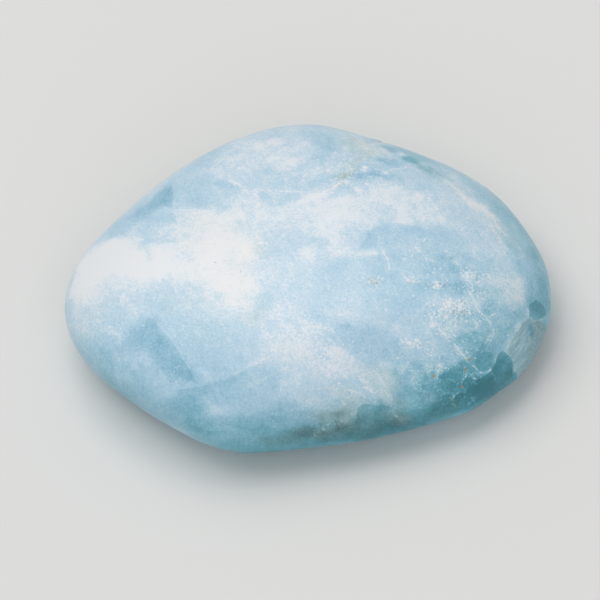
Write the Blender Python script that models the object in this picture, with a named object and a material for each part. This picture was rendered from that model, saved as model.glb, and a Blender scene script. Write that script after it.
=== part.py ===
"""A tumbled aquamarine pebble: one polished stone lying on a small flat rest face.

The frame has +Z up, +X along the stone's length and the origin under the middle
of its bounding box, on the surface that it rests on. The model is in metres, and
the driving dimensions are in millimetres and degrees.
"""

import math

import bmesh
import bpy
from mathutils import Vector

MM = 0.001

# Plan radius at the girdle, the stone's widest level: 16 equal steps
# counter-clockwise from +X.
GIRDLE_RADII = (
    15.4, 14.1, 13.0, 12.5,
    12.8, 12.6, 12.9, 13.6,
    15.0, 15.3, 14.1, 13.2,
    11.9, 12.0, 13.3, 15.8,
)

# The crown is the domed side above the girdle and the base the flatter side
# below it. A power of 2 gives an elliptical section and a higher one a fuller one.
CROWN_HEIGHT = 5.8
CROWN_POWER = 2.2
BASE_DEPTH = 3.2
BASE_POWER = 2.7
REST_FACE_DEPTH = 3.0

# Soft flats worn on the stone: the outward normal's azimuth and tilt above the
# horizontal, and the flat's distance from the stone's centre.
FLATS = (
    (-68, 38, 9.4),
    (72, 34, 10.8),
    (137, 32, 11.4),
    (-28, 26, 13.4),
    (-121, -28, 11.8),
    (-71, -37, 10.6),
    (-139, -18, 14.5),
)
FLAT_SOFTNESS_POWER = 14

# Shallow hollows: azimuth and elevation of the middle seen from the stone's
# centre, width across and depth.
HOLLOWS = (
    (-25, -8, 5.0, 0.35),
    (81, 12, 3.0, 0.20),
    (-126, -8, 4.0, 0.15),
)

ICOSPHERE_SUBDIVISIONS = 5
SHARP_EDGE_DEGREES = 35

STONE_COLOUR = (0.47, 0.63, 0.73, 1.0)
STONE_ROUGHNESS = 0.35
AQUAMARINE_IOR = 1.57


def clear_scene():
    """Remove whatever objects the open file holds."""
    for thing in list(bpy.data.objects):
        bpy.data.objects.remove(thing, do_unlink=True)


def girdle_radius(azimuth):
    """Plan radius at an azimuth in radians: a smooth closed curve through the radii."""
    count = len(GIRDLE_RADII)
    place = azimuth / math.tau % 1.0 * count
    step = int(place)
    part = place - step
    before, start, end, after = (GIRDLE_RADII[(step + k) % count] for k in (-1, 0, 1, 2))
    slope = end - before
    bend = 2 * before - 5 * start + 4 * end - after
    twist = 3 * start - before - 3 * end + after
    return start + 0.5 * (slope * part + bend * part**2 + twist * part**3)


def direction(azimuth_degrees, elevation_degrees):
    """Unit vector at an azimuth from +X and an elevation above the girdle."""
    azimuth = math.radians(azimuth_degrees)
    elevation = math.radians(elevation_degrees)
    level = math.cos(elevation)
    return Vector((level * math.cos(azimuth), level * math.sin(azimuth), math.sin(elevation)))


def fullness(point):
    """How far out a point in mm lies: 1 on the stone's skin, less inside it."""
    outward = math.hypot(point.x, point.y) / girdle_radius(math.atan2(point.y, point.x))
    if point.z > 0:
        height, power = CROWN_HEIGHT, CROWN_POWER
    else:
        height, power = BASE_DEPTH, BASE_POWER
    dome = (outward**power + (abs(point.z) / height) ** power) ** (1 / power)
    total = dome**FLAT_SOFTNESS_POWER
    for azimuth, tilt, distance in FLATS:
        beyond = max(0.0, point.dot(direction(azimuth, tilt)) / distance)
        total += beyond**FLAT_SOFTNESS_POWER
    return total ** (1 / FLAT_SOFTNESS_POWER)


def shape_skin(stone_mesh):
    """Turn an icosphere into the stone: flatten it, then move each corner to the skin."""
    bmesh.ops.create_icosphere(stone_mesh, subdivisions=ICOSPHERE_SUBDIVISIONS, radius=1.0)
    half_length = max(GIRDLE_RADII)
    half_width = min(GIRDLE_RADII)
    half_height = (CROWN_HEIGHT + BASE_DEPTH) / 2
    bmesh.ops.scale(stone_mesh, vec=(half_length, half_width, half_height), verts=stone_mesh.verts)
    for corner in stone_mesh.verts:
        corner.co /= fullness(corner.co)


def press_hollow(stone_mesh, azimuth, elevation, width, depth):
    """Push the skin toward the stone's centre, most in the middle of the hollow."""
    outward = direction(azimuth, elevation)
    middle = outward / fullness(outward)
    for corner in stone_mesh.verts:
        reach = (corner.co - middle).length / (width / 2)
        if reach < 1:
            corner.co -= outward * depth * (1 - reach**2) ** 2


def cut_rest_face(stone_mesh):
    """Slice the base off level and close the cut with one flat face."""
    everything = [*stone_mesh.verts, *stone_mesh.edges, *stone_mesh.faces]
    cut = bmesh.ops.bisect_plane(
        stone_mesh,
        geom=everything,
        plane_co=(0, 0, -REST_FACE_DEPTH),
        plane_no=(0, 0, -1),
        clear_outer=True,
    )
    rim = [element for element in cut["geom_cut"] if isinstance(element, bmesh.types.BMEdge)]
    bmesh.ops.edgeloop_fill(stone_mesh, edges=rim)
    bmesh.ops.recalc_face_normals(stone_mesh, faces=stone_mesh.faces)


def centre_on_rest_face(stone_mesh):
    """Put the origin under the middle of the bounding box, level with the rest face."""
    xs = [corner.co.x for corner in stone_mesh.verts]
    ys = [corner.co.y for corner in stone_mesh.verts]
    middle = Vector(((min(xs) + max(xs)) / 2, (min(ys) + max(ys)) / 2, -REST_FACE_DEPTH))
    bmesh.ops.translate(stone_mesh, vec=-middle, verts=stone_mesh.verts)


def make_stone():
    """Build the stone's mesh in millimetres and return it as an object in metres."""
    stone_mesh = bmesh.new()
    shape_skin(stone_mesh)
    for hollow in HOLLOWS:
        press_hollow(stone_mesh, *hollow)
    cut_rest_face(stone_mesh)
    centre_on_rest_face(stone_mesh)
    bmesh.ops.scale(stone_mesh, vec=(MM, MM, MM), verts=stone_mesh.verts)
    mesh = bpy.data.meshes.new("tumbled_aquamarine")
    stone_mesh.to_mesh(mesh)
    stone_mesh.free()
    mesh.shade_smooth()
    mesh.set_sharp_from_angle(angle=math.radians(SHARP_EDGE_DEGREES))
    return bpy.data.objects.new("tumbled_aquamarine", mesh)


def make_stone_material():
    """Pale blue beryl with a satin polish."""
    material = bpy.data.materials.new("aquamarine")
    material.use_nodes = True
    shader = material.node_tree.nodes["Principled BSDF"]
    shader.inputs["Base Color"].default_value = STONE_COLOUR
    shader.inputs["Roughness"].default_value = STONE_ROUGHNESS
    shader.inputs["Metallic"].default_value = 0.0
    shader.inputs["IOR"].default_value = AQUAMARINE_IOR
    return material


def main():
    clear_scene()
    parts = bpy.data.collections.new("Tumbled aquamarine")
    bpy.context.scene.collection.children.link(parts)
    stone = make_stone()
    stone.data.materials.append(make_stone_material())
    parts.objects.link(stone)


main()
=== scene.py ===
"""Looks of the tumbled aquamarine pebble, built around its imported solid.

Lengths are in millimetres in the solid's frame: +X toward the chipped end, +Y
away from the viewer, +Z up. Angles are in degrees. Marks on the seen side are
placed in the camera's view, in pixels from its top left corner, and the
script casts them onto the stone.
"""

import math
from collections import namedtuple

import bmesh
import bpy
import numpy as np
from mathutils import Matrix, Vector, noise
from mathutils.bvhtree import BVHTree


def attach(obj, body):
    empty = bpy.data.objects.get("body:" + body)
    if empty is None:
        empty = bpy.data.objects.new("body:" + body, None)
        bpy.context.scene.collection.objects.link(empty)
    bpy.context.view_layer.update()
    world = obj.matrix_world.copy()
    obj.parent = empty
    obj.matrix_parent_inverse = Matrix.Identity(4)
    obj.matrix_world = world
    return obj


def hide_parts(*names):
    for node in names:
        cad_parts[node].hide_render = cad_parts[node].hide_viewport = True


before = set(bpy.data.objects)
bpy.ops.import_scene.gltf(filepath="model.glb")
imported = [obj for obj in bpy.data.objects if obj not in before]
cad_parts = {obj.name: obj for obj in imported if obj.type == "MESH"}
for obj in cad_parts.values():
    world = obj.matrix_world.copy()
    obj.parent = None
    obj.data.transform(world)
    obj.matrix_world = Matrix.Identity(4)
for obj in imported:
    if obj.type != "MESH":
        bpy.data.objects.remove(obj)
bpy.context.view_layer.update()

MM = 0.001
NODE = "tumbled_aquamarine"

# ---------------------------------------------------------------- the view

CAMERA_AZIMUTH = 15.5
CAMERA_ELEVATION = 52.0
CAMERA_ROLL = 10.0
CAMERA_DISTANCE = 372.0
CAMERA_LENS = 360.0
CAMERA_SENSOR = 36.0
CAMERA_NEAREST = 10.0
AIM_POINT = Vector((-0.53, -0.75, 2.75))

# The square view in which seen marks are placed: its middle, a tenth of a pixel
# at most from the camera's aim, its width in pixels, its focal length in pixels,
# and how much of the stone one pixel covers.
VIEW_MIDDLE = Vector((-0.53235, -0.75214, 2.7523))
VIEW_WIDTH = 600
VIEW_FOCUS = VIEW_WIDTH * CAMERA_LENS / CAMERA_SENSOR
PIXEL = CAMERA_DISTANCE / VIEW_FOCUS

FLOOR_SIZE = 2400.0
FLOOR_GAP = 0.02
FLOOR_TONE = (232, 231, 228)
FLOOR_ROUGHNESS = 0.75
WORLD_TONE = (250, 252, 255)
WORLD_STRENGTH = 0.45

# Name, direction that the light comes from, distance, width, power and tone.
Lamp = namedtuple("Lamp", "name azimuth elevation distance width watts tone")
LAMPS = (
    Lamp("window", 140, 70, 450.0, 400.0, 1.0, (255, 254, 252)),
    Lamp("bounce card", -75, 35, 450.0, 400.0, 0.4, (248, 251, 255)),
)

# --------------------------------------------------------- the stone's tones

# Beryl from clear and deep to white and clouded, in three families: the blue
# body, the teal of its thin edges and the cream of stained zones.
BLUE_STOPS = (
    (0.00, (84, 140, 164)),
    (0.25, (118, 172, 198)),
    (0.50, (149, 194, 217)),
    (0.75, (186, 217, 234)),
    (0.88, (207, 227, 240)),
    (1.00, (238, 243, 247)),
)
TEAL_STOPS = (
    (0.00, (47, 125, 138)),
    (0.25, (75, 151, 166)),
    (0.50, (108, 175, 193)),
    (0.75, (145, 200, 216)),
    (0.88, (180, 216, 226)),
    (1.00, (214, 229, 232)),
)
CREAM_STOPS = (
    (0.00, (80, 112, 115)),
    (0.25, (117, 148, 150)),
    (0.50, (157, 182, 182)),
    (0.75, (193, 212, 210)),
    (0.88, (210, 225, 227)),
    (1.00, (244, 240, 237)),
)
RUST_TONE = (176, 146, 74)
PIT_TONE = (126, 140, 134)
CHIP_TONE = (138, 182, 196)
FIBRE_TONE = (184, 216, 221)
LENS_TONE = (86, 156, 176)
STAIN_TONE = (132, 172, 184)
STAIN_PALE_TONE = (156, 188, 196)

BODY_MILK = 0.80

# --------------------------------------------------------------- its textures

# A noise: its scale, how many octaves it has and how rough they are.
Noise = namedtuple("Noise", "scale detail roughness")
STIR = Noise(2.4, 3.0, 0.6)
WOBBLE = Noise(1.9, 4.0, 0.72)
GRIT = Noise(7.0, 3.0, 0.7)
PATCHES = Noise(2.6, 2.0, 0.55)
DRIFT = Noise(0.55, 4.0, 0.6)
TUFTS = Noise(2.0, 5.0, 0.7)
GROWTH = Noise(1.0, 3.0, 0.6)
VEIL = Noise(1.1, 3.0, 0.55)
VEIL_PATCHES = Noise(0.7, 2.0, 0.55)
FIBRES = Noise(1.0, 4.0, 0.65)

# How far noise pushes lines and small cells about.
LINE_STIR = (0.25, 0.25, 0.25)
WEB_STIR = (0.9, 0.9, 0.9)
WOBBLE_REACH = 0.24

# How much milk each texture adds: slow drift, tufts, streaks of growth, and
# grit in plain skin and in the glitter.
DRIFT_MILK = 0.25
TUFT_MILK = 0.30
GROWTH_MILK = 0.16
GRIT_MILK = 0.52
GLITTER_GRIT_MILK = 0.48

# A smooth change: where it starts and ends, and its value there.
Span = namedtuple("Span", "start end low high", defaults=(1.0, 0.0))
PATCHY = Span(0.40, 0.60, 0.12, 1.0)
GRITTY = Span(0.40, 0.58, 0.45, 1.2)
VEIL_LINE = Span(0.004, 0.022)
VEIL_SHARE = Span(0.46, 0.60, 0.0, 0.15)

# Edges of the chip, of cleavage and of cells, and how far each is wobbled.
CHIP_SPAN = Span(-0.06, 0.10, 0.0, 1.0)
CHIP_WOBBLE = 2.5
CLEAVAGE_SPAN = Span(-0.02, 0.05, 0.0, 1.0)
CLEAVAGE_WOBBLE = 0.5
CELL_SPAN = Span(-0.03, 0.05, 0.0, 1.0)
CELL_CLEAR_MILK = -0.7
CELL_WALL = Span(0.0, 0.09)

# A healed crack: its thin line and the faint glow round it.
CRACK_LINE = Span(0.01, 0.08, 1.25, 0.0)
CRACK_GLOW = Span(0.0, 0.45)
CRACK_GLOW_SHARE = 0.30

# Teal of the thin lower edge all round, by height, with painted shade that darkens the lower rim.
EDGE_HEIGHT = Span(1.6, 4.8)
EDGE_TEAL_AND_SHADE = 0.60
EDGE_SHADE_MILK = -0.11

# Small cells of the network: how many a millimetre, what they add, their walls.
WEB_SCALE = 1.15
WEB_MILK = 0.24
WEB_WALL = Span(0.0, 0.065)
WEB_WALL_MILK = 0.30

# Grains of broken skin: how many a millimetre, and what they add. Shares rise
# with the glitter from a start that keeps plain skin free of them.
CRUMB_SCALE = 10.0
CRUMB_MILK = 0.24
# White sparks: partly white grains, partly painted glints.
SPARK_AND_GLINT_SHARE = (0.42, -0.06)
SPARK_AND_GLINT_MILK = 0.28
PIT_SHARE = (0.26, -0.12)
PIT_DEPTH = 0.32
DASH_SCALE = 3.4
DASH_TURN = 75
DASH_STRETCH = (0.5, 1.8, 1.8)
DASH_SHARE = (0.60, -0.05)
DASH_SPOT = Span(0.05, 0.28)
DASH_MILK = 0.15
# Flecks: partly white specks, partly painted glints.
FLECK_SCALE = 1.9
FLECK_SHARE = 0.35
FLECK_SPOT = Span(0.04, 0.15)
FLECK_AND_GLINT_MILK = 0.16

# Where milk is full, and how softly it stops there.
FULL_MILK = 1.0
FULL_MILK_SOFTNESS = 0.2

# Streaks of growth, and the fibres of the chip.
GROWTH_TURN = -56
GROWTH_STRETCH = (0.8, 4.0, 2.5)
FIBRE_TURN = 65
FIBRE_STRETCH = (0.7, 4.5, 3.0)
FIBRE_SPAN = Span(0.38, 0.64, 0.0, 1.0)

# The way toward the stained side of the chip, and how far along it that starts.
STAIN_WAY = (0.80, 0.10, -0.60)
STAIN_SPAN = Span(8.55, 9.45, 0.0, 1.0)
STAIN_WOBBLE = 2.0
STAIN_GRIT = Span(0.40, 0.62, 0.0, 1.0)
STAIN_DOT_SHARE = 0.06
STAIN_DOT_DEPTH = 0.7
LENS_DEPTH = 0.9
CHIP_TONE_DEPTH = 0.9
RUST_GRIT = Span(0.4, 0.6, 0.5, 1.0)

# A round spot fades between these shares of its radius.
SPOT_CORE = 0.3
SPOT_RIM = 1.1

# Satin polish, rougher in the glitter and the chip, and the grain of the skin.
ROUGHNESS = 0.37
TUFT_ROUGHNESS = 0.20
GLITTER_ROUGHNESS = 0.12
CHIP_ROUGHNESS = 0.32
SKIN_WEAR = 0.12
GLITTER_WEAR = 0.7
CHIP_WEAR = 1.1
WEAR_HEIGHT = 0.05
AQUAMARINE_IOR = 1.57
SCATTER_WEIGHT = 0.35
SCATTER_REACH = 0.6
SCATTER_RADII = (0.7, 0.9, 1.0)

# ------------------------------------------------------- what is in the stone

# A soft-edged zone of the stone: its middle, its reach along and across, the
# turn of its long side in plan, what it adds to milk, teal and cream, and how
# soft its edge is, from 0 for crisp.
Zone = namedtuple("Zone", "x y z along across turn milk teal cream soft", defaults=(0.0, 0.0, 0.0, 1.0))
# The same as it is seen in the view, in pixels and turned in the view.
Seen = namedtuple("Seen", "x y along across turn milk teal cream soft", defaults=(0, 0.0, 0.0, 0.0, 1.0))
# The stone's clouds, with some painted shade and glints among them, each named where it stands.
CLOUDS_AND_PAINTED_LIGHT = (
    # The warm white cloud and the pale patch left of it.
    Seen(196, 246, 40, 22, milk=0.07, cream=0.12),
    Seen(232, 240, 30, 22, 20, milk=0.06, cream=0.10),
    Seen(222, 262, 36, 28, -40, milk=0.10, cream=0.22),
    Seen(236, 288, 26, 14, -40, milk=0.07, cream=0.12),
    Seen(224, 252, 48, 42, milk=0.07, cream=0.14, soft=1.4),
    Seen(208, 222, 26, 12, 10, milk=0.05, cream=0.10),
    Seen(156, 264, 30, 12, -8, milk=0.12),
    Seen(114, 259, 36, 19, -6, milk=0.33, cream=0.26, soft=1.3),
    Seen(100, 278, 34, 18, -10, milk=0.08, soft=1.4),
    Seen(84, 306, 20, 34, 10, milk=0.09, cream=0.20, soft=1.4),
    Seen(190, 288, 60, 20, -8, milk=0.05, cream=0.10, soft=1.4),
    Seen(128, 240, 20, 8, 28, milk=0.08),
    Seen(82, 282, 16, 22, 20, milk=0.12, soft=1.2),
    Seen(180, 272, 50, 12, -8, milk=0.06, cream=0.06, soft=1.4),
    # Blue notch in it, and paler blue above the left end.
    Seen(149, 256, 8, 5, -60, milk=-0.13),
    Seen(140, 238, 34, 11, 28, milk=-0.03),
    Seen(128, 222, 30, 9, 42, milk=-0.10, soft=1.2),
    Seen(150, 232, 16, 7, 20, milk=0.10),
    Seen(172, 230, 14, 7, 5, milk=0.09),
    Seen(144, 247, 7, 5, -20, milk=-0.04),
    # The dark wedge on the far left shoulder, partly painted shade where that flank tilts away.
    Seen(163, 199, 14, 7, 33, milk=-0.14, teal=0.28, soft=0.7),
    Seen(143, 214, 14, 6, 36, milk=-0.12, teal=0.15),
    Seen(180, 178, 18, 6, 36, milk=-0.05),
    Seen(206, 160, 18, 8, 34, milk=-0.06),
    # Blue band behind the white cloud.
    Seen(212, 197, 38, 12, -2, milk=-0.07, soft=0.7),
    Seen(202, 200, 11, 6, 10, milk=-0.06),
    Seen(228, 185, 14, 4, -15, milk=-0.07),
    Seen(222, 172, 26, 6, 8, milk=0.02),
    Seen(218, 196, 40, 9, -2, milk=0.10),
    # Far crown, white tufts and thin blue.
    Seen(259, 146, 6, 3, 10, milk=0.10),
    Seen(277, 141, 6, 4, 20, milk=0.12),
    Seen(274, 159, 6, 3, milk=0.10),
    Seen(291, 161, 7, 4, -15, milk=0.14),
    Seen(300, 148, 8, 6, milk=0.02),
    Seen(282, 156, 46, 22, milk=0.09, soft=1.4),
    Seen(240, 168, 5, 2, -10, milk=0.10),
    Seen(274, 175, 24, 9, milk=-0.03, teal=0.06),
    Seen(304, 180, 24, 9, milk=0.0, teal=0.05),
    Seen(325, 141, 13, 8, -20, milk=-0.12, teal=0.06),
    Seen(321, 158, 11, 7, -10, milk=-0.06, teal=0.04),
    Seen(328, 169, 18, 5, 5, milk=0.06),
    Seen(325, 188, 22, 5, 27, milk=0.08),
    # A painted shadow, blue, below the crack above it.
    Seen(331, 198, 12, 3.5, 27, milk=-0.06),
    Seen(335, 206, 34, 12, 4, milk=0.06),
    Seen(300, 208, 40, 10, 6, milk=0.06),
    Seen(262, 136, 40, 8, 14, milk=-0.01),
    Seen(282, 213, 66, 13, 4, milk=0.10, soft=1.3),
    Seen(250, 206, 12, 9, milk=0.07),
    Seen(240, 164, 34, 10, -18, milk=0.06, soft=1.3),
    Seen(262, 214, 36, 10, 8, milk=0.06),
    Seen(232, 202, 18, 6, 5, milk=0.06),
    Seen(340, 222, 20, 9, milk=0.07),
    Seen(218, 174, 22, 6, -10, milk=0.06),
    Seen(264, 150, 24, 9, -10, milk=0.06),
    Seen(190, 195, 16, 8, milk=-0.05),
    Seen(345, 318, 22, 9, -15, milk=0.08),
    Seen(330, 252, 22, 10, milk=0.06, cream=0.08),
    Seen(302, 175, 20, 7, milk=0.07),
    Seen(300, 240, 14, 8, milk=-0.05),
    Seen(346, 240, 10, 7, milk=-0.06),
    # Beige strip down from the notch, and the worn corner beside it.
    Seen(341, 178, 5, 10, -20, milk=-0.06, teal=0.10, cream=0.42, soft=0.7),
    Seen(350, 165, 6, 14, -25, milk=0.02, teal=0.10, cream=0.45, soft=0.7),
    Seen(362, 147, 14, 9, -30, milk=-0.01, teal=0.12, cream=0.45),
    Seen(376, 147, 13, 7, -15, milk=0.06, teal=0.25, cream=0.30),
    Seen(346, 176, 3, 3, milk=-0.10, cream=0.30),
    Seen(366.5, 169, 4, 2.5, milk=0.28),
    Seen(386, 160, 9, 2.5, -5, milk=-0.10, teal=0.05),
    Seen(398, 165.5, 6, 2, -5, milk=-0.10, teal=0.10),
    Seen(385, 172.5, 5, 1.8, -10, milk=0.12),
    Seen(370, 183, 3, 2, milk=0.12),
    Seen(346.5, 181.5, 2.5, 2, milk=0.20),
    Seen(361, 190, 4, 1.8, milk=0.16),
    Seen(357, 174, 8, 5, -10, milk=-0.06),
    Seen(374, 173, 5, 3, -30, milk=-0.06),
    Seen(405, 168, 4, 1.5, milk=0.10),
    Seen(346.6, 148, 4, 2.5, milk=0.16),
    Seen(359.6, 189, 4, 2.5, milk=0.16),
    Seen(383, 173, 4, 2, milk=0.14),
    Seen(401, 154, 4, 2, -30, milk=0.18, soft=0.8),
    Seen(385, 152, 8, 3, -25, milk=0.10),
    # Streaky blue right of the strip.
    Seen(380, 170, 26, 10, -6, milk=-0.05),
    Seen(357, 176, 9, 5, -10, milk=-0.10),
    Seen(371, 174, 8, 4, 10, milk=-0.12),
    Seen(384, 176, 11, 3, -8, milk=-0.10),
    Seen(391, 161, 14, 3, -8, milk=-0.08, teal=0.12),
    Seen(404, 175, 14, 4, -18, milk=0.02),
    Seen(410, 159, 9, 3.5, -16, milk=-0.18, teal=0.90, soft=0.8),
    Seen(432, 174, 14, 4, -34, milk=-0.05, teal=0.35),
    Seen(390, 148, 9, 3, -22, milk=-0.12, teal=0.12),
    Seen(371, 146, 15, 5, -18, milk=0.08),
    Seen(396, 151, 12, 3, -24, milk=-0.08, teal=0.10),
    Seen(421, 165, 12, 4, -28, milk=-0.06, teal=0.25, soft=1.2),
    Seen(430, 170, 14, 3, -28, milk=-0.08, teal=0.2),
    # Far right rim, teal below a whitish ridge.
    Seen(470, 182, 66, 10, -36, milk=-0.06, teal=0.38, soft=1.4),
    Seen(522, 236, 44, 12, -54, milk=-0.08, teal=0.42, soft=1.4),
    Seen(412, 153, 24, 4, -24, milk=-0.06, teal=0.50),
    Seen(442, 180, 30, 4, -36, milk=0.02, cream=0.20),
    Seen(468, 198, 26, 5, -38, milk=0.02, cream=0.20),
    Seen(497, 222, 24, 5, -42, milk=0.02, cream=0.20),
    Seen(516, 243, 12, 6, -50, milk=0.0, cream=0.15),
    # Pale saddle on the crown.
    Seen(396, 205, 50, 18, milk=0.18, soft=1.4),
    Seen(380, 201, 9, 8, milk=0.08),
    Seen(400, 210, 4, 7, milk=0.07),
    Seen(418, 196, 8, 4, milk=0.05),
    Seen(345, 212, 26, 10, -14, milk=0.06),
    Seen(330, 232, 18, 8, -45, milk=0.06),
    Seen(411, 208, 8, 5, milk=-0.08),
    Seen(426, 201, 5, 3, milk=-0.08),
    Seen(460, 215, 26, 12, -36, milk=-0.02),
    # Broad blue field right of the middle.
    Seen(404, 252, 42, 22, milk=-0.06, soft=0.8),
    Seen(373, 236, 12, 6, 35, milk=-0.07),
    Seen(397, 226, 18, 5, -3, milk=-0.06),
    Seen(452, 238, 20, 7, -12, milk=-0.08),
    Seen(475, 262, 30, 14, -20, milk=-0.08),
    Seen(409, 254, 9, 10, milk=0.05),
    Seen(430, 280, 46, 9, -6, milk=-0.05),
    Seen(446, 289, 44, 7, -6, milk=-0.08, teal=0.16),
    Seen(440, 265, 12, 6, milk=-0.05, teal=0.15),
    Seen(500, 270, 20, 12, -40, milk=0.06, teal=0.24),
    Seen(519, 290, 10, 9, -50, milk=0.03, teal=0.10),
    Seen(546, 306, 8, 16, 85, milk=-0.16, teal=0.40),
    Seen(498, 373, 16, 12, milk=0.06, teal=0.40),
    Seen(320, 418, 17, 8, -5, milk=0.01, cream=0.24),
    Seen(376, 416, 18, 8, 5, milk=-0.04, cream=0.14),
    Seen(456, 268, 8, 5, milk=-0.08, teal=0.08),
    # A painted shadow beside the main crack.
    Seen(461, 287, 7, 8, 60, milk=-0.10, teal=0.08),
    Seen(408, 302, 24, 9, milk=-0.03),
    Seen(400, 300, 14, 8, milk=-0.03),
    Seen(306, 224, 30, 7, 4, milk=0.05),
    Seen(215, 176, 18, 6, -5, milk=0.06),
    Seen(236, 424, 24, 9, -10, milk=0.08),
    Seen(491, 300, 12, 9, -40, milk=0.10),
    Seen(480, 212, 24, 7, -38, milk=0.07),
    Seen(450, 192, 20, 6, -30, milk=0.05),
    Seen(516, 246, 12, 6, -52, milk=-0.03, teal=0.2),
    Seen(398, 242, 26, 9, milk=0.06),
    Seen(456, 234, 30, 11, -30, milk=0.06),
    Seen(455, 271, 9, 5, -40, milk=-0.10, teal=0.15),
    Seen(446, 257, 8, 4, -30, milk=-0.08, teal=0.12),
    Seen(364, 253, 6, 2.5, milk=0.16),
    Seen(373, 252, 4, 2, milk=0.16),
    Seen(355, 272, 20, 12, milk=0.02),
    Seen(328, 264, 13, 13, milk=-0.08),
    Seen(319, 243, 10, 6, milk=-0.07, teal=0.05),
    Seen(500, 288, 16, 10, -20, milk=0.03),
    Seen(462, 290, 90, 70, teal=0.14, soft=1.4),
    Seen(456, 306, 17, 9, -8, milk=0.07, cream=0.12),
    Seen(372, 281, 10, 6, cream=0.12, milk=0.03),
    Seen(505, 312, 34, 24, -40, milk=-0.07, teal=0.35),
    Seen(480, 330, 36, 18, -20, milk=-0.04, teal=0.28),
    Seen(518, 288, 10, 14, -20, milk=0.06),
    Seen(491, 309, 9, 8, milk=-0.12, teal=0.10),
    Seen(527, 280, 20, 6, -70, milk=-0.10, teal=0.40),
    Seen(543, 292, 20, 8, -78, milk=-0.08, teal=0.25, soft=1.4),
    Seen(546, 312, 24, 9, -85, milk=-0.14, teal=0.45, soft=1.4),
    Seen(540, 270, 22, 9, -70, milk=-0.08, teal=0.30),
    # Middle of the crown, pale with faint blue.
    Seen(250, 211, 9, 5, -30, milk=-0.10),
    Seen(267, 251, 13, 7, milk=-0.08),
    Seen(287, 245, 13, 8, milk=-0.06),
    Seen(262, 222, 14, 12, milk=0.02),
    Seen(300, 270, 24, 12, -20, milk=-0.02),
    Seen(290, 298, 26, 12, -20, milk=-0.03),
    Seen(300, 330, 34, 26, -30, milk=0.06, soft=1.2),
    Seen(262, 306, 10, 16, -40, milk=-0.08),
    Seen(280, 350, 30, 18, -20, milk=0.03),
    Seen(326, 244, 44, 22, milk=0.12, soft=1.4),
    Seen(285, 282, 34, 24, -10, milk=0.08),
    Seen(340, 305, 30, 14, -10, milk=0.02),
    # Low blue patch in the front.
    Seen(362, 337, 30, 15, -12, milk=-0.06, soft=0.6),
    Seen(342, 331, 9, 6, -20, milk=-0.02),
    Seen(390, 338, 20, 9, -10, milk=-0.10),
    Seen(407, 350, 18, 9, -20, milk=-0.01),
    Seen(420, 322, 20, 9, -10, milk=0.02),
    # Angular blue patches at the front left.
    Seen(146, 342, 20, 15, -38, milk=-0.14, teal=0.08),
    Seen(166, 358, 28, 15, -50, milk=-0.07, teal=0.06),
    Seen(180, 370, 22, 11, -52, milk=-0.08, teal=0.08),
    Seen(149, 323, 11, 6, -15, milk=-0.10, teal=0.06, soft=0.7),
    Seen(140, 334, 9, 6, -50, milk=-0.08, teal=0.05, soft=0.8),
    Seen(150, 376, 18, 12, -30, milk=-0.03),
    Seen(214, 350, 34, 22, -20, milk=-0.07, soft=1.2),
    Seen(221, 394, 46, 16, 14, milk=-0.13, teal=0.18),
    Seen(248, 384, 16, 6, 12, milk=0.06),
    Seen(213, 404, 16, 3.5, -32, milk=0.08),
    Seen(205, 424, 22, 10, -10, milk=-0.04, teal=0.15),
    Seen(280, 418, 12, 7, -10, milk=-0.06, teal=0.10),
    Seen(296, 420, 46, 19, -2, milk=-0.17, teal=0.40, soft=1.4),
    Seen(262, 420, 26, 16, teal=0.20),
    Seen(200, 432, 22, 9, -20, milk=0.08),
    Seen(104, 330, 24, 18, -70, milk=0.02),
    Seen(180, 312, 44, 20, -10, milk=-0.06, cream=0.06, soft=1.4),
    Seen(226, 300, 40, 16, -8, milk=0.04, cream=0.16, soft=1.4),
    Seen(130, 302, 20, 12, -10, milk=0.08, cream=0.10),
    Seen(288, 338, 26, 20, milk=0.08, cream=0.10),
    Seen(206, 352, 30, 16, 40, milk=-0.08),
    Seen(218, 336, 36, 16, 10, milk=0.02, cream=0.10, soft=1.4),
    Seen(322, 198, 14, 7, -20, milk=0.06),
    Seen(332, 330, 16, 8, -10, milk=0.07),
    Seen(102, 318, 20, 20, milk=-0.03),
    # These two white specks are partly a painted glint.
    Seen(112, 332, 8, 2.5, -40, milk=0.12),
    Seen(120, 339, 2.5, 6, milk=0.12),
    # Creamy diagonal in front, with the dark window under it.
    Seen(292, 372, 20, 34, 20, milk=0.02),
    Seen(322, 350, 34, 14, -38, milk=0.04),
    Seen(352, 366, 24, 9, -42, milk=0.05, cream=0.10),
    Seen(378, 384, 20, 16, -50, milk=0.03, cream=0.45, teal=0.1),
    Seen(360, 388, 30, 14, -40, milk=-0.04, teal=0.12),
    Seen(388, 396, 9, 7, -30, milk=0.05, cream=0.20),
    Seen(345, 394, 18, 8, -30, milk=0.02, cream=0.35),
    Seen(368, 384, 9, 2.5, -52, milk=0.10),
    Seen(336, 412, 26, 13, -5, milk=0.03, teal=0.10, cream=0.32),
    Seen(376, 413, 18, 9, 5, milk=-0.05, teal=0.30, soft=0.8),
    Seen(346, 412, 8, 12, 10, milk=0.0, cream=0.25),
    Seen(320, 434, 28, 8, 8, milk=-0.14, teal=0.30, cream=0.14),
    Seen(362, 428, 22, 7, 4, milk=-0.06, teal=0.10, cream=0.22),
    Seen(312, 424, 22, 10, -5, milk=0.02, cream=0.08),
    Seen(400, 420, 11, 6, 10, milk=0.04, cream=0.40),
    # Teal clearing at the right end, partly clear stone and partly painted shade of the lower right side.
    Seen(410, 382, 20, 22, -20, milk=-0.08, teal=0.34),
    Seen(412, 370, 32, 22, -20, milk=-0.04, teal=0.16),
    Seen(400, 413, 26, 9, 12, milk=0.08),
    Seen(398, 378, 5, 9, 20, milk=-0.08, teal=0.1),
    Seen(409, 386, 8, 7, milk=0.05),
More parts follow.
